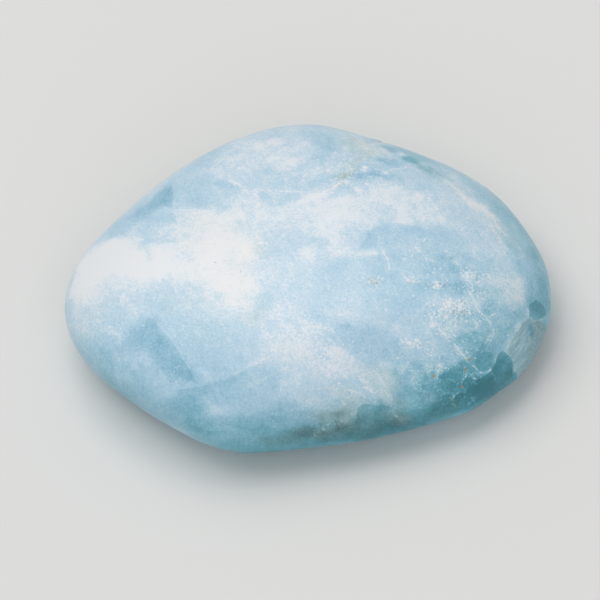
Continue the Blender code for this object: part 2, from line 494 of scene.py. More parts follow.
    Seen(470, 350, 34, 16, -20, milk=-0.12, teal=0.35),
    Seen(466, 380, 46, 19, 14, milk=-0.26, teal=0.62, soft=0.7),
    Seen(455, 372, 26, 12, 6, milk=-0.10, teal=0.20, soft=0.8),
    Seen(462, 396, 40, 16, 18, milk=-0.22, teal=0.40),
    Seen(440, 372, 20, 12, milk=-0.08, teal=0.2),
    Seen(452, 384, 12, 7, milk=-0.10, teal=0.1),
    Seen(484, 384, 16, 9, 30, milk=-0.12, teal=0.2),
    Seen(446, 393, 12, 7, milk=-0.08, teal=0.1),
    Seen(440, 366, 16, 5, milk=0.04, teal=0.1),
    Seen(416, 399, 22, 9, 12, milk=0.10, teal=0.1),
    Seen(505, 340, 14, 9, 50, milk=-0.01, teal=0.30),
    Seen(470, 343, 16, 14, milk=-0.03, teal=0.28),
    Seen(442, 342, 18, 8, -20, milk=0.07),
    Seen(402, 373, 15, 6, -10, milk=0.03, teal=0.15),
    Seen(392, 357, 12, 7, milk=-0.05, teal=0.12),
    Seen(426, 360, 12, 6, milk=0.04),
    Seen(448, 384, 12, 8, milk=0.08),
    Seen(520, 310, 14, 6, 60, milk=-0.05, teal=0.20),
    # Deep teal under the girdle in front, fading to the left: partly the stone's clear teal, partly painted
    # shade of the lower front rim.
    Seen(330, 446, 100, 15, 6, milk=-0.26, teal=0.75, cream=0.10),
    Seen(438, 414, 80, 14, 14, milk=-0.28, teal=0.45),
    Seen(497, 389, 34, 12, 38, milk=-0.04, teal=0.30),
    Seen(506, 383, 20, 7, 42, milk=-0.24, teal=0.30, soft=1.2),
    Seen(487, 386, 15, 8, 30, milk=0.12),
    Seen(505, 366, 9, 10, 10, milk=-0.12, teal=0.15),
    Seen(300, 432, 14, 8, milk=-0.08),
    Seen(350, 437, 40, 6, 6, milk=-0.16, teal=0.25, soft=1.2),
    Seen(400, 429, 26, 6, 12, milk=-0.10, teal=0.20, soft=1.2),
    Seen(230, 420, 16, 7, -10, milk=-0.03, teal=0.10),
    Seen(418, 400, 14, 7, milk=0.12),
    Seen(180, 400, 16, 8, -30, milk=0.07),
    Seen(466, 384, 10, 5, milk=-0.07),
    Seen(452, 408, 40, 9, 16, milk=-0.08, teal=0.2),
    Seen(240, 442, 60, 16, -14, milk=-0.15, teal=0.50),
    Seen(160, 412, 62, 14, -28, milk=-0.16, teal=0.42),
    Seen(100, 372, 38, 14, -48, milk=-0.12, teal=0.34),
    Seen(74, 328, 30, 8, -72, milk=0.0, teal=0.15),
    # Touches of milk and of clear stone all over.
    Seen(424, 378, 14, 8, milk=0.19),
    Seen(410, 391, 12, 7, milk=-0.09),
    Seen(427, 368, 5.5, 5, milk=0.14),
    Seen(441, 371, 5, 3, milk=0.07),
    Seen(337, 415, 5.5, 4, milk=-0.12),
    Seen(334, 402, 5.5, 4, milk=-0.09),
    Seen(341, 428, 5, 3, milk=-0.07),
    Seen(514, 335, 5, 4, milk=0.07),
    Seen(290, 209, 50, 7, milk=-0.05),
    Seen(372, 212, 40, 7, milk=-0.05),
    Seen(250, 310, 40, 9, milk=0.06),
    Seen(452, 244, 56, 40, 10, milk=0.025),
    Seen(345, 421, 5.5, 5, milk=0.18),
    Seen(331, 419, 5.5, 5, milk=0.11),
    Seen(362, 401, 8, 6, milk=-0.07),
    Seen(444, 361, 6, 5, milk=-0.11),
    Seen(328, 200, 9, 6, milk=-0.08),
    Seen(409, 285, 9, 7, milk=0.07),
    Seen(346, 396, 7, 5, milk=-0.07),
    Seen(259, 386, 8, 6, milk=0.06),
    Seen(533, 253, 8, 6, 60, milk=-0.08),
    Seen(422, 406, 5.5, 5, milk=-0.08),
    Seen(520, 366, 5.5, 5, milk=-0.12),
    Seen(507, 360, 5.5, 5, milk=-0.07),
    Seen(424, 377, 5.5, 5, milk=0.08),
    Seen(523, 328, 5.5, 5, milk=0.10),
    # Painted shade: the lowest brink of the front rim made darker.
    Seen(326, 441, 5.5, 3.5, milk=-0.14, teal=0.10),
    Seen(338, 439, 5.5, 3.5, milk=-0.10, teal=0.10),
    Seen(348, 436, 5.5, 3.5, milk=-0.10, teal=0.10),
    Seen(178, 343, 9, 6, milk=-0.06),
    Seen(377, 343, 8, 6, milk=0.06),
    Seen(297, 131, 8, 6, milk=0.06),
    Seen(403, 187, 9, 6, milk=0.05),
    Seen(112, 262, 9, 6, milk=0.06),
    Seen(493, 356, 5, 3, milk=-0.07),
    Seen(247, 374, 10, 5, 12, milk=0.06),
    Seen(286, 406, 12, 7, milk=-0.08),
    Seen(402, 401, 10, 6, milk=-0.05),
    Seen(448, 364, 12, 7, milk=0.12),
    Seen(391, 383, 12, 9, milk=0.11),
    Seen(383, 371, 9, 7, milk=0.06),
    Seen(127, 349, 15, 10, -40, milk=-0.13),
    Seen(122, 238, 18, 8, 30, milk=0.12),
    Seen(137, 223, 13, 6, 38, milk=0.11),
    Seen(160, 247, 9, 7, milk=0.10),
    Seen(191, 220, 16, 8, milk=0.09, cream=0.14),
    Seen(257, 248, 14, 12, milk=0.08, cream=0.32),
    Seen(290, 440, 30, 7, 3, milk=-0.06, cream=0.26),
    Seen(326, 417, 17, 8, milk=-0.12),
    Seen(300, 418, 12, 8, milk=-0.05),
    Seen(403, 420, 14, 8, 10, milk=-0.06, cream=0.14),
    Seen(436, 416, 17, 6, 14, milk=-0.07, cream=0.12),
    Seen(453, 264, 9, 7, milk=0.10),
    Seen(494, 281, 12, 9, milk=0.08),
    Seen(482, 289, 9, 7, milk=0.06),
    Seen(462, 183, 17, 6, -36, milk=0.09),
    Seen(448, 174, 14, 5, -32, milk=0.05),
    Seen(326, 372, 15, 10, milk=0.10),
    Seen(344, 365, 15, 8, -38, milk=0.08),
    Seen(492, 347, 12, 8, milk=-0.06, teal=0.12),
    Seen(506, 380, 16, 7, 42, milk=0.08),
    Seen(410, 274, 12, 7, milk=0.10),
    Seen(126, 383, 16, 8, -48, milk=0.08),
    Seen(465, 223, 12, 8, -20, milk=0.06),
    Seen(512, 224, 12, 6, -50, milk=0.07),
    Seen(390, 413, 9, 6, milk=0.12, cream=0.20),
    Seen(545, 305, 8, 10, milk=0.12),
    Seen(368, 399, 10, 6, milk=-0.04),
    Seen(347, 402, 12, 8, milk=-0.05),
    Seen(346, 426, 14, 6, milk=0.03, cream=0.20),
    Seen(204, 412, 17, 10, -10, milk=0.10),
    Seen(454, 331, 10, 7, milk=0.10),
    Seen(490, 209, 12, 6, -38, milk=0.08),
    Seen(315, 404, 12, 7, milk=0.09),
    Seen(521, 288, 8, 17, -10, milk=0.08),
    Seen(474, 362, 7, 5, milk=0.10),
    Seen(286, 166, 12, 7, milk=0.09),
    Seen(184, 246, 14, 7, milk=0.09, cream=0.10),
    Seen(103, 243, 10, 6, 30, milk=0.08),
    Seen(344, 263, 10, 8, milk=-0.08),
    Seen(338, 345, 12, 8, milk=0.08),
    Seen(251, 381, 14, 6, 10, milk=0.07),
    Seen(245, 422, 14, 8, -5, milk=-0.05, teal=0.16),
    Seen(432, 397, 10, 6, 10, milk=0.06, cream=0.16),
    Seen(516, 302, 12, 8, milk=0.08),
    Seen(259, 365, 16, 6, 15, milk=0.07),
    Seen(481, 306, 8, 6, milk=0.07),
    Seen(398, 406, 10, 6, milk=-0.03, cream=0.24),
    Seen(381, 148, 10, 5, -15, milk=-0.03, teal=0.24),
    Seen(255, 317, 14, 10, milk=0.05, cream=0.34),
    Seen(241, 143, 10, 6, 20, milk=0.08),
    Seen(143, 300, 12, 8, milk=-0.07),
    Seen(396, 331, 9, 6, milk=0.05),
    Seen(443, 323, 10, 7, milk=0.07),
    Seen(334, 437, 17, 6, 6, cream=0.24),
    Seen(109, 348, 12, 9, -45, milk=-0.06),
    Seen(388, 189, 12, 6, milk=0.05),
    Seen(312, 434, 17, 8, 5, milk=-0.02, cream=0.10),
    Seen(290, 430, 13, 7, milk=-0.05, cream=0.08),
    Seen(276, 443, 14, 6, -4, milk=-0.07),
    Seen(330, 437, 16, 6, 6, milk=-0.05, cream=0.10),
    Seen(440, 363, 13, 6, milk=-0.05, teal=0.10),
    Seen(480, 201, 11, 6, -36, milk=0.07),
    Seen(388, 366, 10, 7, milk=0.06),
    Seen(400, 223, 17, 6, -4, milk=0.07),
    Seen(309, 399, 10, 7, milk=0.04, cream=0.16),
    Seen(523, 328, 7, 7, milk=0.07),
    Seen(379, 325, 10, 7, milk=0.06),
    Seen(258, 355, 14, 7, milk=0.06),
    Seen(491, 239, 12, 6, -44, milk=0.06),
    # The far side, from the chipped end round to the pointed end.
    Zone(12.2, 5.6, 3.6, 3.4, 1.5, -52, milk=-0.10, teal=0.30),
    Zone(13.9, 3.0, 2.6, 2.2, 1.2, -65, milk=-0.08, teal=0.25),
    Zone(9.6, 8.3, 4.4, 3.0, 1.0, -42, milk=0.06, cream=0.10),
    Zone(7.4, 9.9, 2.8, 2.8, 1.1, -28, milk=-0.14, teal=0.35),
    Zone(3.8, 11.0, 4.4, 3.2, 0.8, -10, milk=0.06, cream=0.05),
    Zone(1.2, 11.4, 2.9, 3.2, 1.2, 4, milk=-0.13, teal=0.40),
    Zone(-1.6, 10.9, 4.6, 2.0, 0.9, 8, milk=-0.08, teal=0.10, soft=0.6),
    Zone(-4.6, 10.2, 4.2, 3.4, 0.9, 14, milk=0.07),
    Zone(-5.8, 9.9, 2.1, 3.4, 0.9, 18, milk=-0.08, teal=0.30),
    Zone(-8.8, 8.3, 4.2, 2.4, 1.1, 40, milk=-0.10, teal=0.22, soft=0.7),
    Zone(-11.6, 5.6, 3.0, 2.6, 1.2, 52, milk=-0.09, teal=0.30),
    Zone(-13.4, 3.2, 4.4, 1.8, 1.1, 66, milk=0.11),
    Zone(-14.6, 0.6, 2.6, 2.4, 1.0, 84, milk=-0.08, teal=0.28),
    Zone(12.8, -6.9, 1.8, 2.2, 1.2, 45, milk=-0.20, teal=0.30),
    # The underside.
    Zone(-7.0, -1.0, 0.3, 5.0, 3.0, 15, milk=0.08, cream=0.10),
    Zone(-1.0, 3.0, 0.2, 4.2, 2.4, -30, milk=-0.10, teal=0.20),
    Zone(2.0, -4.0, 0.2, 5.0, 2.2, 10, milk=0.06),
    Zone(7.0, 1.5, 0.2, 3.4, 2.6, -48, milk=-0.12, teal=0.25),
    Zone(9.6, -3.4, 0.6, 2.4, 1.8, 30, milk=0.06, cream=0.20),
    Zone(-4.0, -6.4, 0.6, 3.2, 1.6, 12, milk=-0.10, teal=0.20),
)

# A point of a line, an outline or a spot is either seen, in pixels from the left
# and the top, or in millimetres, as three numbers.

# A white line, mostly a healed crack and in a few places a painted glint: how white it is, and the points
# it runs through.
WhiteLine = namedtuple("WhiteLine", "white points")
CRACKS_AND_GLINTS = (
    WhiteLine(0.26, ((231.5, 181.5), (238, 185), (244, 188.5), (250, 192), (256, 194))),
    WhiteLine(0.14, ((256, 190), (270, 191), (285, 191), (299, 191.5))),
    WhiteLine(0.22, ((290, 205), (305, 200), (319, 194.5), (330, 189), (337, 185), (341, 181))),
    WhiteLine(0.09, ((257.5, 192), (257.5, 205), (257.5, 221))),
    WhiteLine(0.24, ((374, 231), (378, 234), (380, 240))),
    WhiteLine(0.20, ((381, 250), (386, 256), (389, 264), (390, 272))),
    WhiteLine(0.13, ((415, 247), (421, 253), (427, 259))),
    WhiteLine(0.12, ((471, 243), (478, 256), (481, 262))),
    WhiteLine(0.20, (
        (458, 263), (465, 277), (468.5, 292), (475, 302.5), (480, 311), (486, 319), (492.5, 329),
        (494, 334), (491, 341),
    )),
    WhiteLine(0.14, ((478, 321), (477.5, 328), (481.5, 335))),
    # Partly a white crack, partly a painted glint.
    WhiteLine(0.60, ((436.5, 281), (437, 284), (436.5, 288))),
    # Partly a white crack, partly a painted glint.
    WhiteLine(0.32, ((459, 304), (461.5, 308.5))),
    WhiteLine(0.28, ((449.5, 301), (449, 306))),
    WhiteLine(0.24, ((443.5, 333), (444.8, 335.5))),
    WhiteLine(0.26, ((468, 276), (470, 279))),
    # Partly a white crack, partly a painted glint.
    WhiteLine(0.38, ((437, 371.5), (441, 367))),
    WhiteLine(0.26, ((407.5, 348.7), (410, 342.5))),
    WhiteLine(0.26, ((413.7, 343), (415.6, 338.7))),
    WhiteLine(0.24, ((433.7, 347.5), (434, 342.5))),
    WhiteLine(0.22, ((400, 372.5), (403, 370))),
    WhiteLine(0.28, ((434.4, 388), (438, 385.6))),
    WhiteLine(0.24, ((447.5, 400), (448, 397), (450, 396), (450.6, 398.7))),
    WhiteLine(0.24, ((486, 318.5), (490, 316), (496.5, 313.7))),
    WhiteLine(0.10, ((470, 318), (476, 322), (480, 331), (478, 338))),
    WhiteLine(0.16, ((402, 154), (412, 157), (424, 165), (436, 174), (446, 180))),
    WhiteLine(0.18, ((446, 180), (456, 188), (463, 193))),
    WhiteLine(0.14, ((460, 192), (466, 198), (473, 204))),
    WhiteLine(0.16, ((478, 203), (484, 207), (490, 213))),
    WhiteLine(0.16, ((497, 223), (504, 229), (509, 234))),
    WhiteLine(0.10, ((511, 238), (517, 242), (522, 250))),
    WhiteLine(0.34, (
        (455, 345.5), (458.5, 349), (462, 354), (466, 358), (470, 360.5), (474, 364.5), (477, 368.5),
    )),
    WhiteLine(0.22, ((461, 353), (465, 358.5), (467, 362))),
    WhiteLine(0.40, ((477, 373), (484, 374), (488, 372.5), (491, 368.5))),
    WhiteLine(0.20, ((472, 374), (475, 379), (477, 382))),
    WhiteLine(0.16, ((494, 383), (497, 379.5), (499, 377))),
    WhiteLine(0.22, ((494.5, 364), (495.5, 359), (498, 355.5))),
    WhiteLine(0.26, ((427, 374), (433, 370), (440, 368), (442, 365))),
    WhiteLine(0.18, ((435, 381), (440, 374), (446, 371))),
    WhiteLine(0.38, ((462, 381.5), (464, 379), (465.5, 377))),
    WhiteLine(0.28, ((454, 396), (458, 393), (462, 390), (463.5, 388))),
    WhiteLine(0.20, ((456, 408), (461, 407.5))),
    WhiteLine(0.28, ((469.5, 404.5), (473, 401), (476.5, 399))),
    WhiteLine(0.22, ((472, 398), (474, 402), (476, 405))),
    WhiteLine(0.24, ((391, 410.6), (397, 417), (404, 425))),
    WhiteLine(0.26, ((311, 440), (318, 431), (328, 424))),
    WhiteLine(0.05, ((264, 401), (272, 397), (280, 394))),
    # Partly a white crack, partly a painted glint.
    WhiteLine(0.16, ((118, 335), (121, 338), (120, 343))),
    WhiteLine(0.14, ((527, 309), (528, 317), (534, 321), (541, 319))),
    WhiteLine(0.12, ((514, 343), (520, 333), (527, 322))),
    WhiteLine(0.16, ((10.4, 7.6, 4.9), (9.3, 8.6, 3.9), (8.7, 9.2, 2.8), (8.2, 9.2, 1.8))),
    WhiteLine(0.14, ((6.4, 9.4, 5.2), (5.5, 10.3, 4.3), (5.3, 10.8, 3.2), (4.5, 11.0, 2.2))),
    WhiteLine(0.16, ((0.8, 10.9, 4.9), (-0.6, 11.2, 4.2), (-1.4, 11.3, 3.3), (-2.8, 11.0, 2.8))),
    WhiteLine(0.12, ((-1.4, 11.3, 3.3), (-1.2, 11.3, 2.4), (-1.9, 10.8, 1.6))),
    WhiteLine(0.14, ((-6.8, 9.2, 5.0), (-7.9, 8.8, 4.2), (-9.6, 7.7, 3.8), (-10.8, 6.8, 3.0))),
    WhiteLine(0.14, ((-12.4, 3.9, 5.3), (-13.2, 3.8, 4.3), (-13.8, 3.0, 3.2))),
    WhiteLine(0.10, ((-13.9, -2.4, 5.0), (-14.6, -1.6, 4.0), (-15.0, -1.3, 3.0))),
    WhiteLine(0.16, (
        (-6.0, 3.6, 0.4), (-3.4, 2.2, 0.0), (-0.2, 1.6, 0.0), (3.0, 0.2, 0.0), (6.2, -0.4, 0.2),
    )),
    WhiteLine(0.12, ((1.0, -6.6, 0.5), (1.6, -4.2, 0.1), (3.0, -2.0, 0.0), (3.0, 0.2, 0.0))),
    WhiteLine(0.14, ((340, 372), (346, 377), (352, 383))),
    WhiteLine(0.14, ((364, 389), (372, 393), (378, 399))),
    WhiteLine(0.26, ((402, 369), (405, 366.5), (408, 364))),
    WhiteLine(0.22, ((399, 374), (403, 375))),
    WhiteLine(0.22, ((432, 316), (433, 322), (434, 327))),
    WhiteLine(0.12, ((447, 331), (449, 337), (448, 342))),
    WhiteLine(0.16, ((426, 331), (429, 327), (434, 325))),
    WhiteLine(0.16, ((463, 320), (468, 322), (472, 321))),
    WhiteLine(0.14, ((474, 336), (482, 336), (490, 340))),
    WhiteLine(0.12, ((500, 240), (505, 246), (507, 253))),
    WhiteLine(0.12, ((489, 219), (496, 229), (502, 241))),
    WhiteLine(0.10, ((436, 206), (440, 214), (442, 222))),
    WhiteLine(0.05, ((352, 158), (349, 168), (343, 178))),
    WhiteLine(0.14, ((371, 163), (382, 162), (392, 158))),
    WhiteLine(0.14, ((376, 169), (388, 171), (402, 168))),
    WhiteLine(0.30, ((508, 349.5), (510.5, 345.5), (513, 342))),
    WhiteLine(0.30, ((516, 327), (519.5, 322.5))),
)

# A cleavage plane inside the stone: a crisp line, with a tone on the left of the
# way along it that fades out over a distance.
Cleavage = namedtuple("Cleavage", "fade milk teal points")
CLEAVAGES = (
    Cleavage(1.4, -0.10, 0.12, ((173.5, 210), (173.5, 198), (173.7, 186))),
    Cleavage(1.8, -0.08, 0.06, ((265, 362.6), (243.7, 368.8), (227, 378), (202, 385.6), (176, 391))),
    Cleavage(2.4, -0.13, 0.08, ((201, 386), (194.7, 378), (182.5, 356.5), (167, 335), (158, 325))),
    Cleavage(1.4, -0.09, 0.0, ((420, 228), (404, 224.5), (388, 222), (372.7, 228.5), (360.4, 245))),
    Cleavage(0.8, -0.05, 0.0, ((346, 323), (335, 327), (332, 335), (335, 345))),
    Cleavage(1.2, 0.06, 0.0, ((215, 210), (190, 209.5), (170, 209.5))),
    Cleavage(1.6, -0.06, 0.06, (
        (316, 322), (334, 342), (352, 356), (372, 367), (387, 384), (394, 402),
    )),
    Cleavage(1.4, -0.08, 0.08, (
        (7.2, 10.0, 4.6), (5.6, 10.7, 3.8), (4.4, 11.2, 3.0), (2.6, 11.4, 2.4),
    )),
    Cleavage(1.6, -0.09, 0.06, (
        (-3.0, 10.6, 5.2), (-3.6, 10.8, 4.0), (-4.6, 10.6, 3.0), (-5.2, 10.0, 2.0),
    )),
    Cleavage(1.6, -0.08, 0.10, (
        (-10.2, 6.6, 5.4), (-10.8, 6.8, 4.2), (-12.2, 5.4, 3.4), (-12.8, 4.6, 2.4),
    )),
    Cleavage(1.8, -0.32, 0.30, (
        (514.5, 371), (514, 362), (511, 356), (507, 352), (503, 350), (499, 352.5), (496.5, 357),
        (495, 362), (493.5, 368), (489, 373.5), (483, 377),
    )),
    Cleavage(1.5, -0.19, 0.24, (
        (396, 410), (388, 406.5), (375, 405), (362, 404), (357, 408), (355.5, 418),
    )),
)

# A grain-like cell: how clear it is, how white its wall is, and its outline.
Cell = namedtuple("Cell", "clear wall points")
CELLS = (
    Cell(0.14, 0.10, (
        (478, 352), (485, 350.5), (492, 351.5), (494.5, 357), (493.5, 364), (490.5, 369), (485, 372.5),
        (478.5, 372.5), (475.5, 367), (475, 360),
    )),
    Cell(0.38, 0.05, (
        (529, 305), (536, 301), (545, 305), (547, 313), (541, 319), (534, 321), (529, 317),
    )),
    Cell(0.06, 0.16, (
        (441, 381), (448, 379.5), (456, 380), (458, 384), (455, 390), (449, 394), (443, 392),
        (440, 387),
    )),
    Cell(0.10, 0.14, (
        (463, 374), (468, 376), (472, 377), (475, 383), (473, 390), (467, 393), (462, 389), (461, 380),
    )),
    Cell(0.04, 0.22, (
        (455, 396), (459, 392), (464, 391), (470, 393), (473, 398), (470, 403), (463, 406), (457, 404),
        (453.5, 400),
    )),
    Cell(0.08, 0.10, (
        (474, 342), (480, 340), (487, 341), (489, 346), (484, 349.5), (477, 349), (473, 346),
    )),
)

# The bare chipped patch on the right end, by its outline, which runs just past
# what the camera sees.
CHIP = (
    (505.7, 350), (511, 341), (517, 331), (523, 322), (528.6, 317.5), (535, 320), (541, 319),
    (15.2, -1.7, 1.7), (15.0, -2.6, 1.2), (14.6, -4.3, 1.3), (13.9, -5.6, 1.8), (515, 370),
    (514.5, 362),
)

# A broad, soft swell of the skin: its place, reach and height.
Swell = namedtuple("Swell", "place reach height")
SWELLS = (
    Swell((172, 180), 6.5, 0.18),
    Swell((506, 218), 4.6, -0.22),
    Swell((498, 388), 3.6, -0.14),
    Swell((300, 436), 5.0, -0.08),
)

# A small grain or pit: its place, radius and strength.
Grain = namedtuple("Grain", "place radius strength")
RUST_GRAINS = (
    Grain((433.7, 376.2), 0.14, 0.9),
    Grain((425, 373), 0.10, 0.8),
    Grain((469, 359), 0.15, 0.9),
    Grain((465, 369.6), 0.13, 0.9),
    Grain((463.8, 367.5), 0.08, 0.8),
    Grain((477, 375), 0.06, 0.8),
    Grain((460, 382.5), 0.06, 0.7),
    Grain((495, 361.2), 0.05, 0.7),
    Grain((462.4, 387), 0.13, 0.8),
    Grain((452.5, 399.5), 0.12, 0.8),
    Grain((454.5, 403.5), 0.08, 0.6),
    Grain((478, 379.6), 0.13, 0.5),
    Grain((459, 383), 0.08, 0.7),
    Grain((331, 422), 0.08, 0.4),
    Grain((322, 421.7), 0.08, 0.6),
    Grain((325.5, 426), 0.05, 0.6),
    Grain((319.5, 430), 0.05, 0.6),
    Grain((310.5, 436.5), 0.05, 0.6),
    Grain((543, 329), 0.06, 0.9),
    Grain((541.5, 334), 0.05, 0.8),
    Grain((542, 338.5), 0.06, 0.9),
    Grain((539.5, 342), 0.07, 0.9),
    Grain((536.5, 343.7), 0.08, 0.9),
    Grain((541, 343.5), 0.05, 0.8),
    Grain((534.5, 346.5), 0.06, 0.8),
    Grain((538, 346.5), 0.05, 0.8),
    Grain((530.5, 353), 0.05, 0.7),
    Grain((525, 360), 0.07, 0.9),
    Grain((522.5, 362.3), 0.05, 0.8),
    Grain((520.5, 370), 0.05, 0.8),
)
PITS = (
    Grain((445, 285.5), 0.26, 0.18),
    Grain((409, 283), 0.24, 0.20),
    Grain((451, 258), 0.18, 0.20),
    Grain((451, 270), 0.12, 0.20),
    Grain((455, 312), 0.30, 0.14),
    Grain((463, 315), 0.26, 0.16),
    Grain((373, 281), 0.34, 0.17),
    Grain((231.5, 298), 0.05, 0.5),
    Grain((245, 281), 0.05, 0.4),
    Grain((220.5, 265.5), 0.04, 0.4),
    Grain((215.4, 262.4), 0.05, 0.6),
    Grain((219.7, 271), 0.06, 0.7),
    Grain((240.7, 271.6), 0.05, 0.6),
    Grain((377, 283), 0.13, 0.5),
    Grain((395.6, 239.7), 0.08, 0.4),
    Grain((409.4, 321), 0.07, 0.5),
    Grain((507, 252.7), 0.08, 0.5),
    Grain((262, 343), 0.05, 0.5),
    Grain((440, 284), 0.1, 0.5),
    Grain((412, 280), 0.1, 0.5),
    Grain((371, 381), 0.05, 0.4),
    Grain((444.5, 391.5), 0.07, 0.6),
    Grain((445.5, 383), 0.07, 0.5),
    Grain((482.5, 362), 0.06, 0.6),
    Grain((501.5, 365.5), 0.06, 0.5),
    Grain((493.5, 373.5), 0.05, 0.5),
    Grain((509, 373.5), 0.05, 0.5),
    Grain((492, 386), 0.06, 0.5),
    Grain((507.5, 383), 0.05, 0.5),
    Grain((9.0, 8.9, 3.3), 0.10, 0.6),
    Grain((3.9, 11.2, 3.6), 0.09, 0.6),
    Grain((-8.9, 8.2, 3.5), 0.10, 0.5),
)
# Lenses of clear blue left whole inside the chip.
LENSES = (
    Grain((533, 328), 0.40, 1.0),
    Grain((533.7, 334), 0.40, 1.0),
)

# Zones of sugary, broken skin, where the white sparks are partly painted glints; milk is how strong each
# is.
GLITTER = (
    Seen(457, 306, 16, 9, -10, milk=1.0),
    Seen(448, 310, 22, 12, -10, milk=0.5),
    Seen(436, 285, 7, 4, milk=0.8),
    Seen(443, 283, 8, 4, milk=0.6),
    Seen(374, 280, 8, 4, milk=0.7),
    Seen(411, 280, 8, 4, milk=0.6),
    Seen(472, 275, 10, 6, -30, milk=0.7),
    Seen(449, 254, 6, 3, milk=0.5),
    Seen(444, 329, 12, 6, milk=0.5),
    Seen(414, 343, 18, 6, milk=0.5),
    Seen(355, 178, 16, 12, 40, milk=0.4),
    Seen(436, 368, 14, 7, milk=0.40),
    Seen(460, 352, 14, 8, -50, milk=0.4),
    Seen(457, 398, 16, 8, 10, milk=0.30),
    Seen(480, 292, 12, 8, -50, milk=0.5),
    Seen(330, 425, 14, 6, 10, milk=0.4),
    # Livelier skin around them.
    Seen(470, 296, 72, 56, -20, milk=0.22, soft=1.4),
    Seen(440, 368, 60, 32, milk=0.22, soft=1.4),
    Seen(372, 398, 52, 30, 10, milk=0.10, soft=1.4),
    Seen(352, 170, 48, 20, -10, milk=0.28, soft=1.4),
    Seen(330, 344, 60, 36, -30, milk=0.20, soft=1.4),
    Seen(150, 332, 64, 46, -10, milk=0.14, soft=1.4),
    Seen(500, 330, 30, 40, -30, milk=0.18, soft=1.4),
    Zone(8.6, 9.0, 3.6, 1.5, 1.0, -35, milk=0.3),
    Zone(-1.4, 11.2, 3.4, 1.4, 0.9, 5, milk=0.35),
    Zone(-9.2, 8.0, 3.8, 1.6, 0.8, 40, milk=0.25),
    Zone(-13.6, 3.0, 3.9, 1.2, 0.9, 66, milk=0.3),
    Zone(3.0, 10.9, 3.4, 6.0, 2.0, -4, milk=0.24, soft=1.4),
    Zone(-9.0, 7.8, 3.6, 6.0, 2.0, 38, milk=0.22, soft=1.4),
    Zone(0.0, 0.0, 0.0, 9.0, 6.0, 0, milk=0.14, soft=1.4),
)

# Zones filled by small cells with white walls.
NETWORK = (
    Zone(11.2, -7.3, 4.0, 1.9, 1.0, 30, milk=1.0),
    Zone(9.3, -8.1, 4.3, 1.5, 0.9, 20, milk=0.9),
    Zone(11.4, -5.5, 5.6, 1.2, 0.9, -10, milk=0.6),
    Zone(14.2, -3.0, 3.6, 1.2, 0.7, 60, milk=0.3),
)
# ------------------------------------------------------------ the stone's mesh

SUBDIVISION_LEVELS = 2
MERGE_DISTANCE = 0.001
WAVE_HEIGHT = 0.05
WAVE_SCALE = 0.24
RIPPLE_HEIGHT = 0.012
RIPPLE_SCALE = 0.9
CHIP_DEPTH = 0.10
CHIP_EDGE = 0.25
CHIP_GRAIN_HEIGHT = 0.025
CHIP_GRAIN_SCALE = 2.6

# The far rim drops by a small step on the right of an old crack. It runs between
# two places in plan, comes in over a length, and fades out to the right.
SCAR_START = Vector((1.9, 6.6))
SCAR_END = Vector((3.6, 11.4))
SCAR_DEPTH = 0.13
SCAR_STEP = (-0.05, 0.20)
SCAR_FADE = (0.3, 1.1)
SCAR_LEAD = (0.0, 0.6)

# Heights between which the relief comes in over the flat face that it rests on.
REST_BAND = (0.05, 0.8)

# Zones reach this deep at least. Noise bends their edges: its scale and reach.
# Zones shorter than the small size are bent by the finer noise alone.
ZONE_DEPTH = 2.5
SMALL_ZONE = 1.1
CLOUD_WANDER = ((0.45, 0.70), (1.4, 0.22))
LINE_WANDER = ((1.1, 0.07),)
CHANCE_SEED = 6

# Cracks are stored in three sets, so that two that cross don't cut each other.
CRACK_CHANNELS = 3
CRACK_FAR = 1.0
CRACK_REACH = (0.3, 0.7)
CRACK_END = (0.0, 0.25)
CLEAVAGE_END = (0.0, 0.9)

# A seen zone takes the slope of the skin within a few pixels of its middle, and
# is drawn out at most this much where the skin turns away from the camera.
SLOPE_STEPS = (-6, 0, 6)
LONGEST_STRETCH = 3.0
# On a steep skin, a zone that would stand upright takes its other side as its long one.
STEEP_SKIN = 0.5
UPRIGHT = 0.7
# A seen point that misses the stone moves in by this share of its way to the middle
# of the view until it meets the skin.
INWARD_SHARE = 0.002
# Places are kept to a tenth of a millimetre, and those of fine marks to a hundredth.
FINE_ZONE = 0.45
COARSE_DIGITS = 1
FINE_DIGITS = 2
# A steep skin counts as at least this level where a mark's long side is laid on it.
LEAST_SLOPE = 0.2


def tone(red_green_blue):
    """A screen colour from 0 to 255 as linear light with full alpha."""
    parts = [value / 255 for value in red_green_blue]
    linear = [v / 12.92 if v <= 0.04045 else ((v + 0.055) / 1.055) ** 2.4 for v in parts]
    return (*linear, 1.0)


def smooth_step(low, high, value):
    share = np.clip((value - low) / (high - low), 0.0, 1.0)
    return share * share * (3 - 2 * share)


def direction(azimuth, elevation):
    level = math.cos(math.radians(elevation))
    turn = math.radians(azimuth)
    return Vector((level * math.cos(turn), level * math.sin(turn), math.sin(math.radians(elevation))))


def camera_axes():
    """The camera's way to the right, up and back, with its roll."""
    back = direction(CAMERA_AZIMUTH - 90, CAMERA_ELEVATION)
    right = direction(CAMERA_AZIMUTH, 0)
    up = back.cross(right)
    roll = math.radians(CAMERA_ROLL)
    level = right * math.cos(roll) - up * math.sin(roll)
    upright = right * math.sin(roll) + up * math.cos(roll)
    return level, upright, back


def surface_tree(mesh):
    cage = bmesh.new()
    cage.from_mesh(mesh)
    tree = BVHTree.FromBMesh(cage)
    cage.free()
    return tree


def kept(place, digits=COARSE_DIGITS):
    """A place rounded in plan to some digits, and in height to a tenth of a millimetre."""
    return (
        round(float(place[0]), digits),
        round(float(place[1]), digits),
        round(float(place[2]), COARSE_DIGITS),
    )


